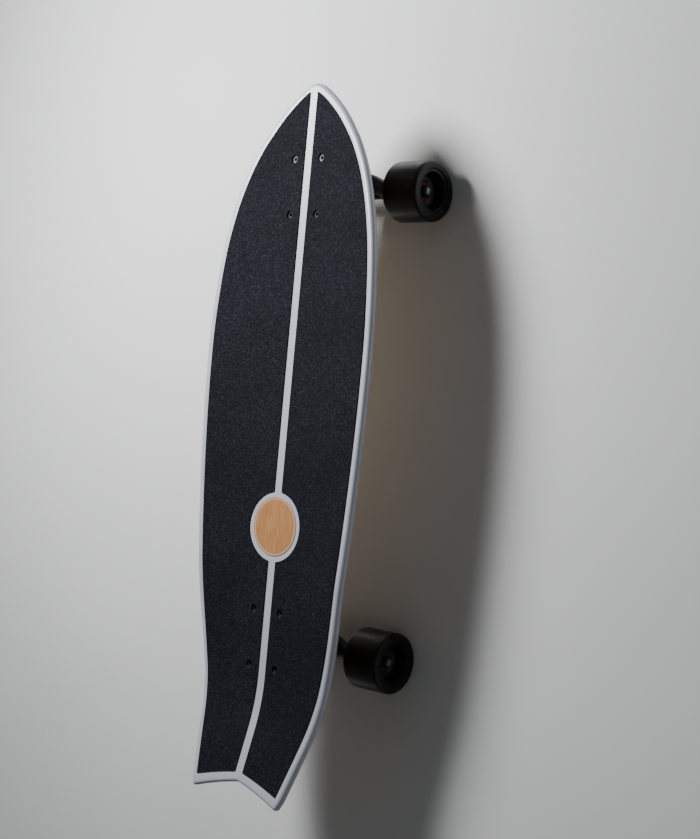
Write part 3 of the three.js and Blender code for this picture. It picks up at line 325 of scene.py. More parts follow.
def surface(points, finish=0, closed_rows=False, closed_columns=False):
    """A grid of points (rows, columns, 3) as vertices, four-cornered faces and the number of
    each face's finish."""
    rows, columns = points.shape[:2]
    index = np.arange(rows * columns).reshape(rows, columns)
    if closed_rows:
        index = np.vstack([index, index[:1]])
    if closed_columns:
        index = np.hstack([index, index[:, :1]])
    corners = index[:-1, :-1], index[1:, :-1], index[1:, 1:], index[:-1, 1:]
    faces = np.stack(corners, axis=-1).reshape(-1, 4)
    return points.reshape(-1, 3), faces, np.full(len(faces), finish)


def smoothed(mesh, crisp=32):
    """Shades a mesh smooth all over but for the edges that turn by more than `crisp` degrees."""
    mesh.shade_smooth()
    mesh.set_sharp_from_angle(angle=math.radians(crisp))


def make_piece(name, surfaces, finishes, body, replaces=()):
    """A piece of one or more surfaces: joined, its doubles merged, its faces turned outwards,
    smoothed, and riding on a body in place of the nodes it replaces. Without a body it is a tool
    or a blank."""
    starts = np.cumsum([0] + [len(points) for points, _, _ in surfaces[:-1]])
    points = np.vstack([points for points, _, _ in surfaces]) / 1000
    grids = [grid + start for (_, grid, _), start in zip(surfaces, starts)]
    mesh = bpy.data.meshes.new(name)
    mesh.from_pydata(points.tolist(), [], [face for grid in grids for face in grid.tolist()])
    mesh.polygons.foreach_set("material_index", np.concatenate([f for _, _, f in surfaces]))
    shape = bmesh.new()
    shape.from_mesh(mesh)
    bmesh.ops.remove_doubles(shape, verts=shape.verts, dist=2e-6)
    bmesh.ops.dissolve_degenerate(shape, edges=shape.edges, dist=1e-7)
    bmesh.ops.recalc_face_normals(shape, faces=shape.faces)
    shape.to_mesh(mesh)
    shape.free()
    for finish in finishes:
        mesh.materials.append(finish)
    smoothed(mesh)
    piece = bpy.data.objects.new(name, mesh)
    bpy.context.scene.collection.objects.link(piece)
    if body:
        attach(piece, body)
        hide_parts(*replaces)
    return piece


def baked(piece, crisp=32):
    """Gives a piece the mesh that its modifiers make, smoothed, in place of the modifiers."""
    bpy.context.view_layer.update()
    shaped = piece.evaluated_get(bpy.context.evaluated_depsgraph_get())
    mesh = bpy.data.meshes.new_from_object(shaped)
    piece.modifiers.clear()
    piece.data = mesh
    smoothed(mesh, crisp)
    return piece


def drilled(piece, tool, crisp=32, solver="EXACT"):
    """Takes one closed piece's space out of another and drops the tool. The cut's faces get the
    tool's finish where it has one."""
    modifier = piece.modifiers.new("drill", "BOOLEAN")
    modifier.operation, modifier.solver, modifier.object = "DIFFERENCE", solver, tool
    modifier.material_mode = "TRANSFER"
    baked(piece, crisp)
    bpy.data.objects.remove(tool)
    return piece


def frame_of(axis):
    """Two directions that stand square on an axis and on each other."""
    axis = unit(axis)
    first = unit(np.cross(axis, (0, 0, 1) if abs(axis[2]) < 0.9 else (1, 0, 0)))
    return first, np.cross(axis, first)


def profile_radii(profile, angle):
    """The radii at each angle and the heights of a profile's (radius, height) rows. A third
    number over 0 makes a row six-sided: its radius, across the corners, times cos 30 /
    cos(angle from the flat's middle)."""
    profile = np.array([(*row, 0)[:3] for row in profile], float)
    six = math.cos(math.pi / 6) / np.cos((angle + np.pi / 6) % (np.pi / 3) - np.pi / 6)
    return profile[:, :1] * np.where(profile[:, 2:] > 0, six, 1), profile[:, 1]


def round_axis(radii, heights, angle, start, axis):
    """Points at heights along an axis and at radii square to it, turned by each angle."""
    axis = unit(axis)
    first, second = frame_of(axis)
    around = np.cos(angle)[:, None] * first + np.sin(angle)[:, None] * second
    return np.asarray(start, float) + heights[:, None, None] * axis + radii[..., None] * around


def turned(profile, start, axis, sides=48, finish=0, ring=False):
    """A profile turned round an axis; a ring's profile closes on itself, any other starts and
    ends on the axis."""
    angle = 2 * np.pi * np.arange(sides) / sides
    points = round_axis(*profile_radii(profile, angle), angle, start, axis)
    return surface(points, finish, closed_rows=ring, closed_columns=True)


def deck_patch(down, inset, rows=150, across=24):
    """The flat stretch between four edges of the outline, moved in by `inset`: each point lies
    between the rails and between tail and nose by its two shares, less their bilinear part. Also
    the loop of its four edges."""
    nose_at = outline_at[-1] - nose_reach
    ahead = np.linspace(0, 1, rows) ** 0.9
    rail = outline_points(corner_at + ahead * (nose_at - corner_at), inset)
    tail = outline_points(np.linspace(0, corner_at, across + 1), inset)
    nose = outline_points(np.linspace(outline_at[-1], nose_at, across + 1), inset)
    tail, nose = (np.vstack([line[:0:-1] * (1, -1), line]) for line in (tail, nose))
    v = np.linspace(0, 1, 2 * across + 1)[None, :, None]
    side = (tail[:, 1] / tail[-1, 1] + 1)[None, :, None] / 2
    u = ahead[:, None, None]
    v = side + (v - side) * u
    right, left = (rail * (1, -1))[:, None], rail[:, None]
    across_part = (1 - v) * right + v * left
    along_part = (1 - u) * tail[None] + u * nose[None]
    corners = (1 - u) * ((1 - v) * right[:1] + v * left[:1]) \
        + u * ((1 - v) * right[-1:] + v * left[-1:])
    flat = across_part + along_part - corners
    loop = np.vstack([tail[:-1], rail[:-1], nose[::-1][:-1], (rail * (1, -1))[:0:-1]])
    height = deck_top + rise(flat[..., 0], flat[..., 1]) - down
    return np.dstack([flat, height]), loop


def deck_rail(steps=12):
    """The rounded edge: the loop round the deck, moved in by 5 (1 - cos a) and down by
    5.5 (1 - sin a) while the angle a goes from 90 to -90 degrees."""
    bands = []
    for a in np.radians(np.linspace(90, -90, steps + 1)):
        loop = deck_patch(0, rail_rounding * (1 - math.cos(a)))[1]
        down = deck_thickness * (1 - math.sin(a)) / 2
        bands.append(np.column_stack([loop, deck_top + rise(loop[:, 0], loop[:, 1]) - down]))
    return np.array(bands)


deck_paint, paint_shader = new_finish("deck_paint", (0.47, 0.49, 0.54), 0.34, Coat_Weight=0.25,
                                      Coat_Roughness=0.2)
paint_cloud = noise(deck_paint, 60, 4)
paint_scuff = noise(deck_paint, 9, 6, place_of(deck_paint, (0.25, 1, 1)), 0.7)
feed(deck_paint, paint_shader,
     mixed(deck_paint, spread(deck_paint, paint_scuff, 0, 0.35, 0.62, 0.8),
           ramp(deck_paint, paint_cloud, (0.3, (0.4, 0.42, 0.485)), (0.7, (0.45, 0.47, 0.535))),
           (0.34, 0.355, 0.395)),
     spread(deck_paint, paint_scuff, 0.28, 0.5, 0.3, 0.75),
     noise(deck_paint, 2.5, 3), 0.03)

maple, maple_shader = new_finish("maple_veneer", (0.6, 0.4, 0.22), 0.38, Coat_Weight=0.3,
                                 Coat_Roughness=0.25)
maple_lines = noise(maple, 1.6, 5, place_of(maple, (0.02, 1, 1)), 0.65, 0.4)
maple_bands = noise(maple, 26, 3, place_of(maple, (0.06, 1, 1)), 0.5, 1.2)
feed(maple, maple_shader,
     mixed(maple, spread(maple, maple_bands, 0.0, 0.55, 0.35, 0.7),
           ramp(maple, maple_lines, (0.25, (0.3, 0.21, 0.13)), (0.5, (0.43, 0.325, 0.215)),
                (0.75, (0.52, 0.41, 0.285))),
           (0.35, 0.245, 0.15)),
     spread(maple, maple_lines, 0.32, 0.5), maple_lines, 0.04)

top_patch, _ = deck_patch(0, rail_rounding)
low_patch, _ = deck_patch(deck_thickness, rail_rounding)
deck = make_piece("deck_board", [
    surface(top_patch, 0), surface(low_patch, 1),
    surface(deck_rail(), 0, closed_columns=True),
], [deck_paint, maple], "deck", ["deck"])
# The walls of the bolt holes get a near-black wood tone: painted shade in the holes round the sunk
# bolt heads.
bore_painted_shade = clouded("bolt_hole_painted_shade", (0.02, 0.014, 0.01), 0.8, (1.5, 4, 0.5),
                    [(0.3, (0.012, 0.009, 0.007)), (0.7, (0.035, 0.024, 0.016))],
                    grain=(1.5, 4, 0.05))
below_deck = -deck_thickness - 3
hole_rows = [(0, below_deck), (bolt_clearance, below_deck), (bolt_clearance, -3.2),
             (bolt_hole, -0.7), (bolt_hole, 3), (0, 3)]
bolt_places = [(x + dx, dy) for x in (front_pattern_x, rear_pattern_x) for dx, dy in bolt_offsets]
drilled(deck, make_piece("deck_drill", [
    turned(hole_rows, (x, y, deck_top), (0, 0, 1), 32) for x, y in bolt_places
], [bore_painted_shade], None))


# Grip: two sheets of black silicon carbide paper stuck to the top, one each side of the centre
# stripe, trimmed with a knife 9 mm inside the rails, 12 mm inside the tail edges and round the
# badge, and punched at the bolts.
grip_border, tail_border, half_stripe = 9.2, 12.2, 6.0
badge_x, badge_ring = -100.4, 39.8
glue, grip_top, lean_run = 0.12, 1.2, 150


def grip_sheet(side):
    """Rows run from the tail edge to the nose tip. A row goes from the stripe, or from the ring
    round the badge where y = sqrt(badge ring^2 - (x - badge x)^2) is more, out to the rail's
    offset line; over lean_run from the tail it leans to lie along the tail edge."""
    tail_line = tail_edge(np.linspace(0, 1, 200))
    tail_line = tail_line + tail_border * inward(tail_line)
    rail_cut = left_rail(np.linspace(0.0, 1, 3000))
    rail_cut = rail_cut + grip_border * inward(rail_cut)
    far = np.interp(rail_cut[:, 0], tail_line[::-1, 0], tail_line[::-1, 1], right=0)
    rail_cut = rail_cut[(rail_cut[:, 1] <= far) | (rail_cut[:, 0] > tail_line[0, 0])]
    start_x = np.interp(half_stripe, tail_line[:, 1], tail_line[:, 0])
    tip = float(np.interp(-(half_stripe + 0.5), -rail_cut[-600:, 1], rail_cut[-600:, 0]))
    reach = math.sqrt(badge_ring**2 - half_stripe**2)
    leaves = math.asin(half_stripe / badge_ring)
    arc = badge_x - badge_ring * np.cos(np.linspace(leaves, math.pi - leaves, 81))
    near_tip = tip - 60
    inner_x = np.concatenate([
        np.linspace(start_x, badge_x - reach, 90)[:-1], arc,
        np.linspace(badge_x + reach, near_tip, 110)[1:], np.linspace(near_tip, tip, 60)[1:]])
    lean = np.clip(1 - (inner_x - start_x) / lean_run, 0, 1) ** 2
    inner_y = np.sqrt(np.maximum(badge_ring**2 - (inner_x - badge_x) ** 2, half_stripe**2))
    v = np.linspace(0, 1, 29)
    tail_y = half_stripe + v * (rail_cut[0, 1] - half_stripe)
    tail_x = np.interp(tail_y, tail_line[:, 1], tail_line[:, 0])
    x = inner_x[:, None] + lean[:, None] * (tail_x - start_x)
    outer_y = np.interp(x[:, -1], rail_cut[:, 0], rail_cut[:, 1])
    y = inner_y[:, None] + v * (outer_y - inner_y)[:, None]
    height = deck_top + rise(x, y)
    top, low = (np.dstack([x, side * y, height + lift]) for lift in (grip_top, glue))
    return [surface(top), surface(low), surface(np.stack([top[0], low[0]])),
            surface(np.stack([top[-1], low[-1]])), surface(np.stack([top[:, 0], low[:, 0]])),
            surface(np.stack([top[:, -1], low[:, -1]]))]


def rod(radius, low, high, start, axis, sides=64):
    """A plain round rod between two heights on an axis."""
    return turned([(0, low), (radius, low), (radius, high), (0, high)], start, axis, sides)


grit, grit_shader = new_finish("grip_grit", (0.012, 0.012, 0.016), 0.9, Specular_IOR_Level=0.08)
grit_grain, grit_fine = (
    add_node(grit, "TexVoronoi", {"Vector": place_of(grit), "Scale": 1 / size})
    for size in (1.2, 0.42))
grit_clump = noise(grit, 2.4, 5, rough=0.75)
grit_cloud = noise(grit, 70, 4)
grit_each = add_node(grit, "SeparateColor", {"Color": grit_grain.outputs["Color"]}).outputs["Red"]
grit_dark = (0.003, 0.0032, 0.0048)
grit_color = mixed(
    grit, 0.42,
    ramp(grit, grit_each, (0.0, grit_dark), (0.5, (0.0098, 0.0103, 0.0142)),
         (0.8, (0.017, 0.0175, 0.0248)), (1.0, (0.042, 0.0415, 0.06))),
    ramp(grit, grit_clump, (0.35, grit_dark), (0.52, (0.0107, 0.0112, 0.0156)),
         (0.72, (0.028, 0.029, 0.041))))
grit_color = mixed(grit, spread(grit, grit_cloud, 0.0, 0.35, 0.35, 0.7), grit_color,
                   (0.004, 0.004, 0.005))
feed(grit, grit_shader, grit_color, spread(grit, grit_fine.outputs["Distance"], 0.7, 0.98),
     mixed(grit, 0.5, grit_grain.outputs["Distance"], grit_fine.outputs["Distance"]), 0.4)

for side, side_name in ((1, "left"), (-1, "right")):
    sheet = make_piece(f"grip_sheet_{side_name}", grip_sheet(side), [grit], "deck",
                       [f"griptape_{side_name}"])
    drilled(sheet, make_piece("punch", [
        rod(bolt_hole, -4, 6, (x, y, deck_top), (0, 0, 1), 32)
        for x, y in bolt_places if y * side > 0
    ], [grit], None))


# Badge: a round of thin orange veneer set in a clear space of the grip, its edge lined with one
# fine pale ring. It is left plain.
badge_radius, badge_rim, badge_top = 33.6, 0.5, 0.45
line_radius, line_half_width = 31.5, 0.38


def badge_disc():
    """Rings of growing radius round the badge's middle, laid on the deck's rise, with a rim that
    is eased by a quarter ellipse and falls to the deck."""
    flat_radius = badge_radius - badge_rim
    radius = np.concatenate([np.linspace(0, flat_radius, 24),
                             flat_radius + badge_rim * np.sin(np.radians([30, 60, 90, 90])), [0]])
    lift = np.concatenate([np.full(24, badge_top), 0.25 + 0.2 * np.cos(np.radians([30, 60, 90])),
                           [glue, glue]])
    angle = 2 * np.pi * np.arange(96) / 96
    x = badge_x + radius[:, None] * np.cos(angle)
    y = radius[:, None] * np.sin(angle)
    return surface(np.dstack([x, y, deck_top + rise(x, y) + lift[:, None]]), closed_columns=True)


veneer, veneer_shader = new_finish("badge_veneer", (0.55, 0.29, 0.12), 0.42, Coat_Weight=0.2,
                                   Coat_Roughness=0.3)
veneer_grain = noise(veneer, 1.3, 5, place_of(veneer, (0.07, 1, 1)), 0.6, 0.5)
veneer_color = ramp(veneer, veneer_grain, (0.25, (0.29, 0.12, 0.04)), (0.5, (0.41, 0.19, 0.07)),
                    (0.75, (0.48, 0.24, 0.1)))
from_middle = add_node(veneer, "VectorMath", {
    0: place_of(veneer, (1, 1, 0), shift=(-badge_x, 0, 0))}, operation="LENGTH").outputs["Value"]
on_line = add_node(veneer, "Math", {
    0: from_middle, 1: line_radius, 2: line_half_width}, operation="COMPARE").outputs["Value"]
feed(veneer, veneer_shader, mixed(veneer, on_line, veneer_color, (0.5, 0.47, 0.43)),
     spread(veneer, veneer_grain, 0.35, 0.55), veneer_grain, 0.03)
make_piece("badge_disc", [badge_disc()], [veneer], "deck", ["deck_badge"])


# Mounting bolts: countersunk socket screws pushed down through the deck and drawn tight by lock
# nuts under the base plates. The pair at the nose is dull zinc, the other six are blackened.
def rod_with_thread(rows, radius, pitch, low, high, start, axis, sides=32):
    """A shank's profile that runs on into a thread. At height h and angle a the thread's radius
    is the shank's less 0.6 pitch times the triangle wave of h / pitch - a / 360, and less still
    towards the tip, which is domed."""
    angle = 2 * np.pi * np.arange(sides) / sides
    height = np.linspace(low, high, int((high - low) / pitch * 8) + 2)[:, None]
    wave = np.abs(2 * ((height / pitch - angle / (2 * np.pi)) % 1) - 1)
    thread = radius - 0.6 * pitch * wave - 0.7 * pitch * np.clip(1 - (high - height) / pitch, 0, 1)
    tip = thread[-1:] * np.array([[0.6], [0.25], [0]])
    tip_heights = high + pitch * np.array([0.25, 0.35, 0.38])
    radii, heights = profile_radii(rows, angle)
    points = round_axis(np.vstack([radii, thread, tip]),
                        np.concatenate([heights, height[:, 0], tip_heights]), angle, start, axis)
    return surface(points, closed_columns=True)


def lock_nut(across, height, bore, start, axis):
    """A six-sided nut that narrows to a round collar, and the nylon ring held inside the collar.
    The rows are shares of the nut's corner radius and of its height."""
    body = [(0.86, 0), (1, 0.09, 1), (1, 0.68, 1), (0.87, 0.78), (0.79, 0.82), (0.775, 0.94),
            (0.72, 1), (0.64, 1), (0.62, 0.97), (0.62, 0.86)]
    body = [(bore, 0), *((share * across, up * height, *six) for share, up, *six in body),
            (bore, 0.86 * height)]
    ring = [(bore - 0.15, 0.875 * height), (0.61 * across, 0.875 * height),
            (0.61 * across, 0.96 * height), (0.5 * across, 0.99 * height),
            (bore, 0.97 * height), (bore - 0.15, 0.95 * height)]
    return [turned(body, start, axis, ring=True), turned(ring, start, axis, finish=1, ring=True)]


zinc = clouded("zinc_steel", (0.55, 0.56, 0.57), 0.38, (2.2, 5, 0.6),
               [(0.3, (0.42, 0.43, 0.44)), (0.7, (0.64, 0.65, 0.66))],
               (0.32, 0.5), (0.6, 3, 0.02), metallic=1.0)
black_oxide = clouded("black_oxide", (0.02, 0.02, 0.022), 0.4, (1.5, 5, 0.65),
                      [(0.3, (0.012, 0.012, 0.014)), (0.72, (0.045, 0.044, 0.046))],
                      (0.3, 0.52), (0.4, 3, 0.02), metallic=0.6)
dull_zinc = clouded("dull_zinc", (0.08, 0.08, 0.085), 0.55, (1.5, 5, 0.6),
                    [(0.3, (0.045, 0.045, 0.048)), (0.7, (0.1, 0.1, 0.105))],
                    (0.48, 0.64), (0.5, 3, 0.02), metallic=0.6)
bolt_black = clouded("bolt_black", (0.012, 0.012, 0.013), 0.6, (1.5, 5, 0.65),
                     [(0.3, (0.007, 0.007, 0.008)), (0.72, (0.024, 0.024, 0.026))],
                     (0.52, 0.7), (0.4, 3, 0.02), metallic=0.3, Specular_IOR_Level=0.25)
ring_nylon = clouded("lock_ring_nylon", (0.05, 0.05, 0.055), 0.45, (0.8, 3, 0.5),
                     [(0.3, (0.035, 0.035, 0.04)), (0.7, (0.07, 0.07, 0.08))],
                     (0.4, 0.55), (0.3, 2, 0.02))

plate_thickness, riser_thickness = 7.0, {"front": 3.0, "rear": 12.0}
truck_at = {
    end: np.array([x, 0, deck_top - deck_thickness - riser_thickness[end]])
    for end, x in (("front", front_pattern_x), ("rear", rear_pattern_x))
}
for end, truck in truck_at.items():
    for number, (dx, dy) in enumerate(bolt_offsets, 1):
        head_at = np.array([truck[0] + dx, dy, deck_top - bolt_sunk])
        nut_depth = head_at[2] - truck[2] + plate_thickness + 0.3
        screw_rows = [(0, 2.3), (1.5, 2.2, 1), (2.05, 2.1, 1), (2.05, 0.2, 1), (2.3, 0), (4.15, 0),
                      (4.45, 0.3), (4.45, 0.6), (2.4, 2.6), (2.4, nut_depth)]
        at_nose = end == "front" and dx > 0
        make_piece(f"{end}_screw_and_nut_{number}", [
            rod_with_thread(screw_rows, 2.4, 0.8, nut_depth, nut_depth + 6.3, head_at, (0, 0, -1)),
            *lock_nut(5.4, 5.6, 2.55, head_at - (0, 0, nut_depth), (0, 0, -1)),
        ], [dull_zinc if at_nose else bolt_black, ring_nylon], "deck",
            [f"{end}_mount_bolt_{number}"])


# Riser pads: blocks of black rubber between the deck and each base plate, 3 thick at the nose
# and 12 at the tail, moulded with a fine parting line and clamped by the four bolts.
def rounded_outline(corners, trim, steps=10, most=0.42):
    """A polygon listed anticlockwise whose corners are parabolas that start and end at `trim`
    from the corner, or at a share `most` of an edge that is short."""
    corners = np.asarray(corners, float)
    ahead = np.roll(corners, -1, axis=0)
    if np.sum(corners[:, 0] * ahead[:, 1] - corners[:, 1] * ahead[:, 0]) < 0:
        corners = corners[::-1]
    s = np.linspace(0, 1, steps)[:, None]
    arcs = []
    for before, corner, after in zip(np.roll(corners, 1, 0), corners, np.roll(corners, -1, 0)):
        enter, leave = (corner + edge * min(trim / np.linalg.norm(edge), most)
                        for edge in (before - corner, after - corner))
        arcs.append((1 - s) ** 2 * enter + 2 * s * (1 - s) * corner + s**2 * leave)
    return np.vstack(arcs)


def closed_ends(points):
    """One face over the first row and one over the last row of a grid that closes round."""
    around = np.arange(points.shape[1])[None]
    return [(points[row], around, np.array([0])) for row in (0, -1)]


def slab(outline, low, high, rounding, place, right=(1, 0, 0), top=(0, 1, 0)):
    """An outline in the plane of two directions, carried square to it from one level to another.
    At both ends it moves in by r (1 - cos a) while the level moves by r (1 - sin a)."""
    right, top = unit(right), unit(top)
    along = np.roll(outline, -1, axis=0) - np.roll(outline, 1, axis=0)
    along /= np.linalg.norm(along, axis=1)[:, None]
    into = np.column_stack([-along[:, 1], along[:, 0]])
    angle = np.radians(np.linspace(90, 0, 5 if rounding else 1))
    inset, level = rounding * (1 - np.cos(angle)), rounding * (1 - np.sin(angle))
    inset, level = np.append(inset, inset[::-1]), np.append(low + level, high - level[::-1])
    flat = outline + inset[:, None, None] * into
    points = np.asarray(place, float) + flat[..., :1] * right + flat[..., 1:] * top \
        + level[:, None, None] * np.cross(right, top)
    return [surface(points, closed_columns=True), *closed_ends(points)]


def bolt_holes(truck, low, high):
    """The clearance holes of a truck's four bolts, between two heights over its base plate."""
    return [rod(bolt_clearance, low, high, truck + (dx, dy, 0), (0, 0, 1), 32)
            for dx, dy in bolt_offsets]


rubber = clouded("riser_rubber", (0.014, 0.014, 0.015), 0.72, (14, 5, 0.65),
                 [(0.3, (0.010, 0.010, 0.011)), (0.6, (0.018, 0.018, 0.019)),
                  (0.85, (0.034, 0.034, 0.035))], (0.6, 0.85), (0.7, 4, 0.05))

footprint = rounded_outline([(-42, -28), (42, -28), (42, 28), (-42, 28)], 9)
for end, truck in truck_at.items():
    thick = riser_thickness[end]
    middle = thick / 2
    pad = make_piece(f"{end}_riser", [
        *slab(footprint, 0.3, middle - 0.1, 0.5, truck),
        *slab(footprint * 0.997, middle - 0.6, middle + 0.6, 0.1, truck),
        *slab(footprint, middle + 0.1, thick - 0.3, 0.5, truck),
    ], [rubber], "deck", [f"{end}_riser_pad"])
    drilled(pad, make_piece("pad_holes", bolt_holes(truck, -3, 16), [rubber], None))


# Front base plate: an aluminium casting in black powder coat, with a flat footprint, a flange
# round the swivel, a tilted seat for the spring and a short neck that the swivel turns against.
def blank(*surfaces):
    """Closed surfaces made a piece that isn't shown by itself, for a casting or as a tool."""
    groups = [group if isinstance(group, list) else [group] for group in surfaces]
    return make_piece("blank", [part for group in groups for part in group], [], None)


def casting(name, parts, bores, finish, body, replaces, grain=0.7, passes=5):
    """Closed parts run together on voxels of `grain` millimetres, smoothed so that edges and
    joins get a founder's fillets, and then machined: the bores are taken out crisp."""
    shape = bmesh.new()
    for part in parts:
        shape.from_mesh(part.data)
        bpy.data.objects.remove(part)
    mesh = bpy.data.meshes.new(name)
    shape.to_mesh(mesh)
    shape.free()
    mesh.materials.append(finish)
    piece = bpy.data.objects.new(name, mesh)
    bpy.context.scene.collection.objects.link(piece)
    run_together = piece.modifiers.new("run_together", "REMESH")
    run_together.mode, run_together.voxel_size = "VOXEL", grain / 1000
    fillets = piece.modifiers.new("fillets", "SMOOTH")
    fillets.factor, fillets.iterations = 0.5, passes
    drilled(baked(piece, 50), blank(*bores), 45)
    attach(piece, body)
    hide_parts(*replaces)
    return piece


powder, powder_shader = new_finish("powder_coat", (0.016, 0.016, 0.017), 0.38, Coat_Weight=0.1,
                                   Coat_Roughness=0.3)
powder_cloud = noise(powder, 18, 4)
powder_wear = noise(powder, 3.5, 7, rough=0.75)
feed(powder, powder_shader,
     mixed(powder, spread(powder, powder_wear, 0, 0.6, 0.68, 0.8),
           ramp(powder, powder_cloud, (0.3, (0.012, 0.012, 0.013)), (0.7, (0.022, 0.022, 0.024))),
           (0.09, 0.088, 0.085)),
     spread(powder, powder_wear, 0.32, 0.55, 0.3, 0.75), noise(powder, 0.9, 3), 0.05)

swivel_tilt, swivel_ahead = math.radians(7), 56
swivel_top = truck_at["front"] + (swivel_ahead, 0, -plate_thickness)
swivel_axis = np.array([-math.sin(swivel_tilt), 0, -math.cos(swivel_tilt)])
swivel_front = np.array([math.cos(swivel_tilt), 0, -math.sin(swivel_tilt)])
spring_radius, spring_wire, spring_curls, spring_bend = 16.6, 4.5, 2.5, 3.5
spring_from, spring_to = 7.5, 21.1


def spring_place(turns, depth):
    """The wire's middle at the spring's radius from the swivel's axis, at a number of turns from
    the nose side and at a depth along the axis."""
    angle = 2 * np.pi * np.asarray(turns)[..., None]
    return swivel_top + np.asarray(depth)[..., None] * swivel_axis \
        + spring_radius * (np.cos(angle) * swivel_front + np.sin(angle) * (0, 1, 0))


bend_turns = spring_bend / (2 * math.pi * spring_radius)
tang_in_plate = spring_place(-bend_turns, spring_from - spring_bend - spring_wire)
tang_in_arm = spring_place(spring_curls + bend_turns, spring_to + spring_bend + spring_wire)


def tang_bore(tang):
    """The snug bore that a tang of the spring stands in."""
    return rod(2.55, -6.5, 6.5, tang, swivel_axis, 32)


neck_radius, pin_bore = 12.4, 5.3
front_truck = truck_at["front"]
flange = rounded_outline([(0, -28), (28, -28), (swivel_ahead, -22), (swivel_ahead, 22),
                          (28, 28), (0, 28)], 4)
casting("front_base_casting", [
    blank(slab(footprint, -plate_thickness, 0, 1, front_truck)),
    blank(slab(flange, -plate_thickness, 0, 1, front_truck)),
    blank(rod(22, -plate_thickness, 0, front_truck + (swivel_ahead, 0, 0), (0, 0, 1))),
    blank(rod(20, -2.3, 2.6, swivel_top, swivel_axis)),
    blank(rod(neck_radius, 0, 9, swivel_top, swivel_axis)),
], [
    *bolt_holes(front_truck, -12, 4), rod(8.3, -11, 0, swivel_top, swivel_axis),
    rod(pin_bore, -2, 11, swivel_top, swivel_axis), tang_bore(tang_in_plate),
], powder, "deck", ["front_baseplate"])


# Swivel: a steel bolt dropped in from above, a needle thrust bearing between two hardened
# washers, and a lock nut sunk in the arm's hub. The arm turns on it as the rider twists.
swivel_bolt_rows = [
    (0, -2.8), (2.9, -2.8, 1), (2.9, -5.1, 1), (3.2, -5.3), (7.4, -5.3), (8, -4.8), (8, -0.5),
    (7.8, -0.3), (5, -0.3), (5, 31),
]
make_piece("swivel_bolt_shaft", [
    rod_with_thread(swivel_bolt_rows, 5, 1.25, 31.2, 38.9, swivel_top, swivel_axis, 48),
], [zinc], "deck", ["swivel_pivot_bolt"])
make_piece("swivel_lock_nut", lock_nut(8.2, 7, 5.15, swivel_top + 31.3 * swivel_axis, swivel_axis),
           [zinc, ring_nylon], "deck", ["swivel_pivot_nut"])
hard_washers = [
    [(5.35, a), (11.5, a), (11.8, a + 0.2), (11.8, b - 0.2), (11.5, b), (5.35, b)]
    for a, b in ((9.3, 10.6), (12.8, 14.1))
]
needle_cage = [(5.6, 10.5), (11.1, 10.5), (11.3, 10.9), (11.3, 12.5), (11.1, 12.9), (5.6, 12.9)]
make_piece("swivel_needle_bearing", [
    *(turned(rows, swivel_top, swivel_axis, 64, ring=True) for rows in hard_washers),
    turned(needle_cage, swivel_top, swivel_axis, 64, 1, ring=True),
], [zinc, black_oxide], "deck", ["swivel_thrust_bearing"])


# Torsion spring: round steel wire wound two and a half times round the swivel. One straight tang
# is set in the base plate and the other in the arm, so it winds up when the arm swings.
def spring_surface(sides=20):
    """A circle of the wire's radius carried along its path. Its first direction points away from
    the swivel's axis and its second stands square on that and on the path."""
    quarter = np.linspace(0, np.pi / 2, 9)[:-1]
    out, back = np.cos(quarter), 1 - np.sin(quarter)
    turns = np.concatenate([
        [-bend_turns], -bend_turns * out, np.linspace(0, spring_curls, 121),
        spring_curls + bend_turns * out[::-1], [spring_curls + bend_turns]])
    depth = np.concatenate([
        [spring_from - spring_bend - spring_wire], spring_from - spring_bend * back,
        np.linspace(spring_from, spring_to, 121),
        spring_to + spring_bend * back[::-1], [spring_to + spring_bend + spring_wire]])
    path = spring_place(turns, depth)
    angle = 2 * np.pi * turns[:, None]
    away = np.cos(angle) * swivel_front + np.sin(angle) * (0, 1, 0)
    onward = np.gradient(path, axis=0)
    onward -= np.sum(onward * away, axis=1)[:, None] * away
    onward /= np.linalg.norm(onward, axis=1)[:, None]
    third = np.cross(onward, away)
    around = 2 * np.pi * np.arange(sides) / sides
    points = path[:, None] + spring_wire / 2 * (
        np.cos(around)[:, None] * away[:, None] + np.sin(around)[:, None] * third[:, None])
    points = np.concatenate([np.repeat(path[:1, None], sides, 1), points,
                             np.repeat(path[-1:, None], sides, 1)])
    return surface(points, closed_columns=True)


spring_steel = clouded("spring_steel", (0.3, 0.3, 0.31), 0.3, (3, 6, 0.65),
                       [(0.3, (0.2, 0.2, 0.21)), (0.7, (0.42, 0.42, 0.43))],
                       (0.22, 0.44), (0.5, 3, 0.02), metallic=1.0)
spring = make_piece("torsion_spring", [spring_surface()], [spring_steel], None)
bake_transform(spring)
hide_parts("swivel_spring")


# Swivel arm: an aluminium casting in the same black. A hub turns on the swivel, a beam with a
# kingpin seat reaches back from it, and a leg at its heel holds the hanger's pivot cup.
# The hanger leans about a line that slopes by front_tilt; the kingpin stands square to it.
front_axle = np.array([front_truck[0] + 6.5, 0, tyre_radius])
front_tilt = math.radians(38)
front_lean = np.array([math.cos(front_tilt), 0, math.sin(front_tilt)])
front_pin = np.array([math.sin(front_tilt), 0, -math.cos(front_tilt)])
axle_drop, ring_reach, pivot_reach = 8, 22, 18
front_ring = front_axle - axle_drop * front_pin + ring_reach * front_lean
front_pivot = front_axle - axle_drop * front_pin - pivot_reach * front_lean
nut_seat_on_pin, pin_grip = 18.4, 9.6
front_head = -nut_seat_on_pin - pin_grip
cup_mouth, cup_bottom, cup_bore = 1.9, -7.9, 8.3
boss_end = cup_bottom - 2.8
boss_rows = [(0, boss_end), (6.5, boss_end), (8, boss_end + 1), (11, boss_end / 2),
             (11, cup_mouth - 0.9), (10.4, cup_mouth - 0.3), (0, cup_mouth - 0.3)]


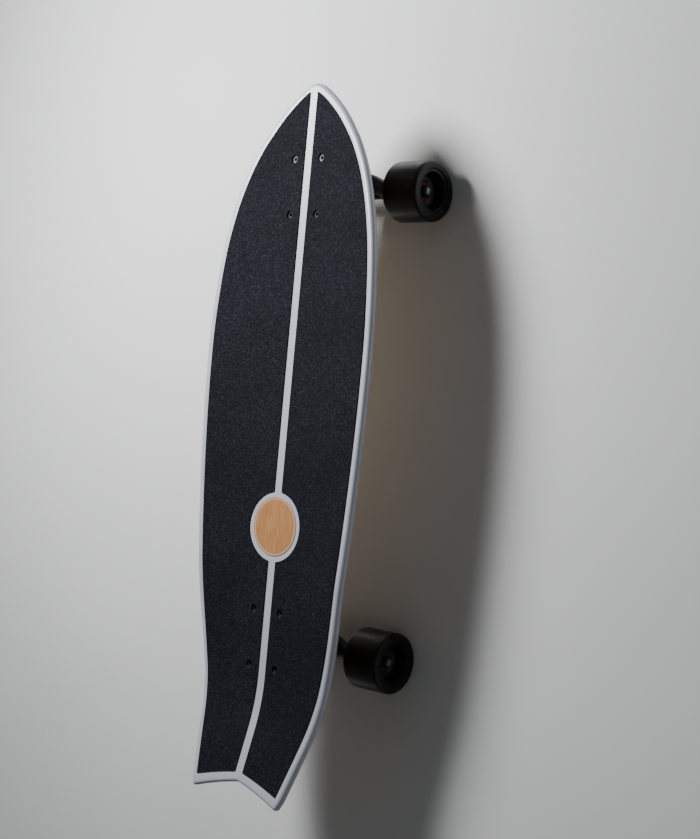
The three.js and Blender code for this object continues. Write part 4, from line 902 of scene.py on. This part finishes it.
def beside(place, *moves):
    """A point's x and z after moves of (direction, distance)."""
    place = np.array(place, float)
    for direction, distance in moves:
        place = place + distance * direction
    return place[0], place[2]


def kingpin_bores(ring_at, axis, head):
    """The clearance hole for a kingpin and the pocket for its head."""
    return [rod(pin_bore, head - 3, 0, ring_at, axis), rod(9.6, head - 30, head, ring_at, axis)]


def cup_pocket(pivot, axis):
    """The pocket that a pivot cup is pressed into."""
    return rod(cup_bore, cup_bottom - 0.3, cup_mouth + 4, pivot, axis)


def side_slab(outline, low, high, rounding):
    """A slab whose outline is drawn in the side view, carried across the board."""
    return slab(outline, low, high, rounding, (0, 0, 0), top=(0, 0, 1))


hub_radius, hub_low_depth = 20, 33.5
side_x, _, top_z = front_truck
seat_at = front_ring - (nut_seat_on_pin + 1.5) * front_pin
shelf_rim = beside(swivel_top, (swivel_axis, 26), (swivel_front, -hub_radius))
hub_high, hub_low = (beside(swivel_top, (swivel_axis, depth)) for depth in (27.5, hub_low_depth))
bottom_rim = beside(swivel_top, (swivel_axis, hub_low_depth), (swivel_front, -hub_radius))
seat_front, seat_back = (beside(seat_at, (front_lean, distance)) for distance in (16, -18))
boss_mouth = beside(front_pivot, (front_lean, cup_mouth), (front_pin, -11))
boss_tail = beside(front_pivot, (front_lean, boss_end + 1.5))
boss_heel = beside(front_pivot, (front_lean, boss_end + 1.5), (front_pin, -11))
leg_x, leg_low = side_x - 36, top_z - 45
arm_outline = rounded_outline([
    (leg_x, top_z - 18), (shelf_rim[0] - 4, top_z - 18), (shelf_rim[0], shelf_rim[1] - 1.5),
    hub_high, hub_low, bottom_rim, seat_front, seat_back, boss_mouth, boss_tail, boss_heel,
    (leg_x, leg_low),
], 4)
head_x, head_z = beside(front_ring, (front_pin, front_head), (front_lean, -14.6))


def along_head(z):
    """The place at a height on a line beside the pocket of the kingpin's head."""
    return head_x - (z - head_z) * math.tan(front_tilt), z


arm_blank = blank(side_slab(arm_outline, -15, 15, 1.5))
pocket_x, web = side_x - 31, 4.5
for pocket in (
    [(pocket_x, leg_low), (seat_back[0] - 5, leg_low), (boss_mouth[0] - 5, boss_mouth[1]),
     (boss_mouth[0] - 5, boss_tail[1] + 10)],
    [(pocket_x, top_z - 23), along_head(top_z - 23), along_head(top_z - 40),
     (pocket_x, top_z - 40)],
):
    hollow = rounded_outline(pocket, 4)
    drilled(arm_blank, blank(side_slab(hollow, web, 20, 1), side_slab(hollow, -20, -web, 1)),
            solver="MANIFOLD")
casting("swivel_arm_casting", [
    arm_blank,
    blank(rod(hub_radius, 26, 35, swivel_top, swivel_axis)),
    blank(rod(neck_radius, 14.4, 27.5, swivel_top, swivel_axis)),
    blank(rod(14, front_head, -nut_seat_on_pin, front_ring, front_pin)),
    blank(turned(boss_rows, front_pivot, front_lean, 64)),
], [
    *kingpin_bores(front_ring, front_pin, front_head), cup_pocket(front_pivot, front_lean),
    rod(pin_bore, 12, 40, swivel_top, swivel_axis), rod(8.8, 31, 45, swivel_top, swivel_axis),
    tang_bore(tang_in_arm),
], powder, "swivel_arm", ["swivel_arm"])


# Front hanger: a black casting from wheel to wheel. It swells round a flat ring that the two
# bushings hold, and a pin on its back turns in the pivot cup; the axle runs through it.
end_radius, front_half, rear_half = 8.6, 72.7, 77.7


def hanger_loft(half, axle, reach_axis, reach, lift, shares, rows=121, sides=56):
    """Oval sections from wheel to wheel. A row of shares gives a section's place across, its
    reach and lift from the axle, and its length and thickness; a spline runs through the rows."""
    shares = np.array(shares, float)
    knots = np.vstack([shares, shares[-2::-1] * (-1, 1, 1, 1, 1)])
    across, out, up, long, thick = spline(knots, np.linspace(0, 1, rows)).T[..., None]
    angle = 2 * np.pi * np.arange(sides) / sides
    thick_axis = np.array([-reach_axis[2], 0, reach_axis[0]])
    points = axle + (reach * out + end_radius * long * np.cos(angle))[..., None] * reach_axis \
        + (lift * up + end_radius * thick * np.sin(angle))[..., None] * thick_axis
    points[..., 1] += half * across
    return [surface(points, closed_columns=True), *closed_ends(points)]


def arc(centre, radius, start, end, steps):
    """Points of an arc in a profile, from one angle in degrees to another."""
    angle = np.radians(np.linspace(start, end, steps))
    return [(centre[0] + radius * math.cos(a), centre[1] + radius * math.sin(a)) for a in angle]


def pivot_pin(tip, axis, root):
    """A round-ended pin that widens to the hanger, from its tip's centre up an axis."""
    return turned([*arc((0, 0), 5.4, -90, 0, 10), (5.4, 2.2), (6.2, 4), (7.8, 7), (9, 9),
                   (9, root), (0, root)], tip, axis, 64)


def clear_of_bushings(part, ring_at, axis):
    """A part of a hanger less the space above and below the ring that the bushings sit in."""
    rooms = [rod(13.8, low, high, ring_at, axis) for low, high in ((2, 37), (-37, -2))]
    return drilled(blank(part), blank(*rooms))


def hanger_bores(ring_at, pin, axle):
    """The kingpin's wide bore through the ring and the axle's bore from end to end."""
    return [rod(7.3, -37, 37, ring_at, pin), rod(4.3, -90, 90, axle, (0, 1, 0))]


ring_rows = [
    (0, -4), (15.8, -4), (16.7, -3.6), (17, -2.8), (17, 2.8), (16.7, 3.6), (15.8, 4), (0, 4),
]
casting("front_hanger_casting", [
    clear_of_bushings(hanger_loft(front_half, front_axle, front_lean, ring_reach, axle_drop, [
        (1, 0, 0, 1, 1), (0.8, 0.05, 0, 1.02, 1), (0.6, 0.28, 0.15, 1.17, 1.03),
        (0.43, 0.6, 0.45, 1.45, 1.05), (0.19, 0.66, 0.9, 1.95, 1.1), (0, 0.62, 1, 2.1, 1.1),
    ]), front_ring, front_pin),
    blank(rod(7.2, -front_half, front_half, front_axle, (0, 1, 0))),
    blank(turned(ring_rows, front_ring, front_pin, 64)),
    blank(pivot_pin(front_pivot, front_lean, 18)),
], hanger_bores(front_ring, front_pin, front_axle), powder, "front_hanger", ["front_hanger"])


# Rear base plate: a black casting under the thick riser. A post carries the kingpin down at a
# slant, and a block on the tail side holds the other pivot cup.
rear_truck = truck_at["rear"]
rear_axle = rear_truck + (-13.3, 0, tyre_radius - rear_truck[2])
rear_ring = rear_truck + (10.7, 0, -60)
rear_pivot = rear_truck + (-38, 0, -34)
rear_tilt = math.radians(12.7)
rear_pin = np.array([math.sin(rear_tilt), 0, -math.cos(rear_tilt)])
rear_lean = unit(rear_ring - rear_pivot)
rear_head = -44 / math.cos(rear_tilt)
cup_side = np.array([-rear_lean[2], 0, rear_lean[0]])
tail_low = beside(rear_pivot, (rear_lean, boss_end + 1.5), (cup_side, -8))
lip_low, lip_high = (beside(rear_pivot, (rear_lean, cup_mouth - 1.5), (cup_side, side))
                     for side in (-11, 11))
plate_middle = rear_truck[2] - plate_thickness / 2
block_outline = rounded_outline([(rear_truck[0] - 42, plate_middle), tail_low, lip_low, lip_high,
                                 (lip_high[0] + 8, plate_middle)], 4)
post_start = -60 / math.cos(rear_tilt)
post_rows = [(0, post_start), (18.5, post_start), (14, -28), (14, -nut_seat_on_pin),
             (0, -nut_seat_on_pin)]
casting("rear_base_casting", [
    blank(slab(footprint, -plate_thickness, 0, 1, rear_truck)),
    blank(side_slab(block_outline, -12.5, 12.5, 1.5)),
    blank(turned(boss_rows, rear_pivot, rear_lean, 64)),
    drilled(blank(turned(post_rows, rear_ring, rear_pin, 64)),
            blank(slab(footprint * 1.5, -3, 20, 0, rear_truck))),
], [
    *bolt_holes(rear_truck, -12, 4), *kingpin_bores(rear_ring, rear_pin, rear_head),
    cup_pocket(rear_pivot, rear_lean),
], powder, "deck", ["rear_baseplate"])


# Rear hanger: a black casting with the same ring for the bushings, and an arm that rises from
# its back to the pivot pin.
rear_reach = unit(rear_ring - rear_axle)
elbow = rear_pivot + 13.5 * rear_lean
arm_axis = rear_axle + 9 * rear_reach - elbow
arm_length = float(np.linalg.norm(arm_axis))
arm_rows = [*arc((0, 0), 9, -90, 0, 8), (10, arm_length / 2), (10, arm_length), (0, arm_length)]
casting("rear_hanger_casting", [
    clear_of_bushings(hanger_loft(rear_half, rear_axle, rear_reach, 25, 0, [
        (1, 0, 0, 1, 1), (0.65, 0.03, 0, 1.1, 1), (0.5, 0.13, 0, 1.45, 1),
        (0.36, 0.28, 0, 1.9, 0.95), (0.18, 0.41, 0, 2.3, 0.93), (0, 0.48, 0, 2.5, 0.93),
    ]), rear_ring, rear_pin),
    blank(turned(ring_rows, rear_ring, rear_pin, 64)),
    clear_of_bushings(turned(arm_rows, elbow, arm_axis, 64), rear_ring, rear_pin),
    blank(pivot_pin(rear_pivot, rear_lean, 13.5)),
], hanger_bores(rear_ring, rear_pin, rear_axle), powder, "rear_hanger", ["rear_hanger"])


# Kingpins: each is a steel bolt through the hanger's ring with a urethane bushing and a steel
# washer on either side, drawn up by a lock nut. The hanger leans by squeezing the bushings.
bushing_urethane = clouded("bushing_urethane", (0.025, 0.025, 0.027), 0.42, (6, 5, 0.6),
                           [(0.3, (0.018, 0.018, 0.02)), (0.7, (0.036, 0.036, 0.039))],
                           (0.36, 0.56), (0.8, 3, 0.04))

bushing_foot = 4.35
outer_rows = spline(np.array([(12.4, 5.1), (12.45, 6.6), (12.3, 8.3), (11.6, 10.8), (10.8, 13.4),
                              (10, 15.6)]), np.linspace(0, 1, 17))
bushing_rows = [
    (7, bushing_foot), (11.7, bushing_foot), (12.2, 4.6), *outer_rows, (9.85, 16.05),
    (9.4, 16.25), (5.4, 16.25), (5.4, 12), (5.5, 9), (6.2, 6.5),
]
washer_rows = [(pin_bore, 16.6), (12.3, 16.6), (12.6, 16.85), (12.6, 17.85), (12.3, 18.1),
               (pin_bore, 18.1)]
for end, ring_at, pin, head, still, swinging in (
    ("front", front_ring, front_pin, front_head, "swivel_arm", "front_hanger"),
    ("rear", rear_ring, rear_pin, rear_head, "deck", "rear_hanger"),
):
    kingpin_rows = [(0, head - 6.5), (7.3, head - 6.5), (8.4, head - 6, 1),
                    (8.4, head - 0.3, 1), (5, head - 0.3), (5, 20)]
    make_piece(f"{end}_kingpin_bolt", [
        rod_with_thread(kingpin_rows, 5, 1.25, 20.2, 28.4, ring_at, pin, 48),
    ], [zinc], still, [f"{end}_kingpin"])
    nut_at = ring_at + nut_seat_on_pin * pin
    make_piece(f"{end}_kingpin_lock_nut", lock_nut(8.2, 9, 5.15, nut_at, pin),
               [zinc, ring_nylon], still, [f"{end}_kingpin_nut"])
    for side, which in ((-1, "upper"), (1, "lower")):
        outward = side * pin
        bushing = make_piece(f"{end}_{which}_urethane_bushing", [
            turned(bushing_rows, ring_at, outward, 64, ring=True),
        ], [bushing_urethane], None)
        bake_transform(bushing)
        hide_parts(f"{end}_bushing_{which}")
        make_piece(f"{end}_{which}_cup_washer", [
            turned(washer_rows, ring_at, outward, 64, ring=True),
        ], [zinc], still, [f"{end}_washer_{which}"])

cup_rows = [
    (0, cup_bottom), (7.6, cup_bottom), (8, cup_bottom + 0.4), (8, cup_mouth - 0.3),
    (7.7, cup_mouth), (6, cup_mouth), (5.75, cup_mouth - 0.3), *arc((0, 0), 5.7, 0, -90, 9),
]
for end, pivot, axis, body in (("front", front_pivot, front_lean, "swivel_arm"),
                               ("rear", rear_pivot, rear_lean, "deck")):
    make_piece(f"{end}_cup_liner", [turned(cup_rows, pivot, axis, 64)], [bushing_urethane], body,
               [f"{end}_pivot_cup"])


# Wheels: cast urethane tyres on nylon cores, each turning on two sealed bearings with red
# shields and held on the axle by a nylon-ringed lock nut. Depths run in from the outer face.
tyre_width, tread_round = 50, 4.2
tread_x = tyre_radius - tread_round
tyre_rows = [
    (17.9, 14), (18.6, 12.4), *arc((22.6, 2.5), 1, -165, -90, 6), (25.2, 1.5),
    *arc((26.4, 0.8), 0.8, -180, -90, 6), *arc((tread_x, tread_round), tread_round, -90, 0, 12),
    *arc((tread_x, tyre_width - tread_round), tread_round, 0, 90, 12),
    (24.4, tyre_width), (24, 49.8), (18.4, 42.8), (17.9, 42),
]
core_rows = [
    (11.15, 15.8), (13.4, 14), (17.2, 14), (17.75, 14.3), (17.75, 41.7), (17.2, 42), (11.6, 42),
    (11.15, 41.6), (11.15, 33), (9.2, 32.6), (9.2, 23.4), (11.15, 23),
]
urethane, urethane_shader = new_finish("black_urethane", (0.006, 0.006, 0.0065), 0.46,
                                       Specular_IOR_Level=0.3)
scuffs = noise(urethane, 5, 6, rough=0.65)
dust = noise(urethane, 22, 4, rough=0.6)
feed(urethane, urethane_shader,
     mixed(urethane, spread(urethane, dust, 0.0, 0.5, 0.5, 0.85),
           ramp(urethane, scuffs, (0.3, (0.004, 0.004, 0.0045)), (0.75, (0.009, 0.009, 0.0095))),
           (0.016, 0.0155, 0.015)),
     spread(urethane, scuffs, 0.27, 0.47, 0.3, 0.7), noise(urethane, 1.1, 4), 0.03)
nylon = clouded("black_nylon", (0.02, 0.02, 0.022), 0.4, (4, 4, 0.5),
                [(0.3, (0.014, 0.014, 0.016)), (0.7, (0.028, 0.028, 0.03))],
                (0.33, 0.5), (0.8, 3, 0.04))
race = clouded("bearing_steel", (0.3, 0.29, 0.3), 0.3, (1.2, 4, 0.5),
               [(0.3, (0.22, 0.21, 0.22)), (0.7, (0.36, 0.35, 0.36))], (0.18, 0.34), metallic=1.0)
shield = clouded("red_shield", (0.15, 0.008, 0.035), 0.38, (1.6, 4, 0.5),
                 [(0.3, (0.12, 0.006, 0.028)), (0.7, (0.19, 0.011, 0.045))],
                 (0.28, 0.46), (0.5, 2, 0.02), metallic=0.2)

# A bearing's outer race, shields and inner race, each with the number of its finish.
bearing_rings = [
    ([(10.5, 0.3), (10.75, 0), (11, 0.25), (11, 6.75), (10.75, 7), (10.5, 6.7)], 0),
    ([(6.1, 0.5), (6.4, 0.3), (8, 0.45), (10.2, 0.2), (10.45, 0.4), (10.45, 6.6), (10.2, 6.8),
      (8, 6.55), (6.4, 6.7), (6.1, 6.5)], 1),
    ([(4.15, 0.4), (4.5, 0), (6, 0.3), (6, 6.7), (4.5, 7), (4.15, 6.6)], 0),
]
axles = {"front": (front_axle, 228.0), "rear": (rear_axle, 238.0)}
for end, (axle, track) in axles.items():
    for side, side_name in ((1, "left"), (-1, "right")):
        wheel, body = f"{end}_{side_name}", f"{end}_{side_name}_wheel"
        face, into = axle + (0, side * track / 2, 0), np.array([0, -side, 0])
        make_piece(f"{wheel}_tread", [turned(tyre_rows, face, into, 128, ring=True)],
                   [urethane], body, [f"{wheel}_tyre"])
        make_piece(f"{wheel}_hub_core", [turned(core_rows, face, into, 64, ring=True)],
                   [nylon], body, [f"{wheel}_core"])
        for depth, which in ((16, "outer"), (33, "inner")):
            make_piece(f"{wheel}_{which}_bearing", [
                turned(rows, face + into * depth, into, 64, finish, ring=True)
                for rows, finish in bearing_rings
            ], [race, shield], body, [f"{wheel}_bearing_{which}"])


# Axles: hardened steel rods pressed through the hangers, threaded and domed at the ends. At each
# wheel a speed washer and a spacer run on the rod, and a nylon-ringed lock nut ends it.
axle_steel = clouded("axle_steel", (0.16, 0.16, 0.165), 0.42, (1.4, 5, 0.6),
                     [(0.3, (0.17, 0.17, 0.175)), (0.7, (0.3, 0.3, 0.305))],
                     (0.36, 0.52), (0.5, 3, 0.02), metallic=1.0)
for end, (axle, track) in axles.items():
    face = track / 2
    hanger = face - 41.3
    axle_rows = [
        (0, 0), (4, 0), (4, hanger + 0.3), (6.1, hanger + 0.3), (6.4, hanger + 0.45),
        (6.4, hanger + 0.85), (6.1, hanger + 1), (4, hanger + 1), (4, face - 32.7),
        (6.4, face - 32.7), (6.4, face - 23.3), (4, face - 23.3), (4, face - 14.5),
    ]
    make_piece(f"{end}_axle_rod", [
        rod_with_thread(axle_rows, 4, 1.0, face - 14.2, face - 7.8, axle, (0, side, 0), 40)
        for side in (1, -1)
    ], [axle_steel], f"{end}_hanger", [f"{end}_axle"])
    for side, side_name in ((1, "left"), (-1, "right")):
        nut_at = axle + (0, side * (face - 15.7), 0)
        make_piece(f"{end}_{side_name}_lock_nut", lock_nut(7.5, 7.4, 4.15, nut_at, (0, side, 0)),
                   [black_oxide, ring_nylon], f"{end}_hanger",
                   [f"{end}_{side_name}_axle_nut"])
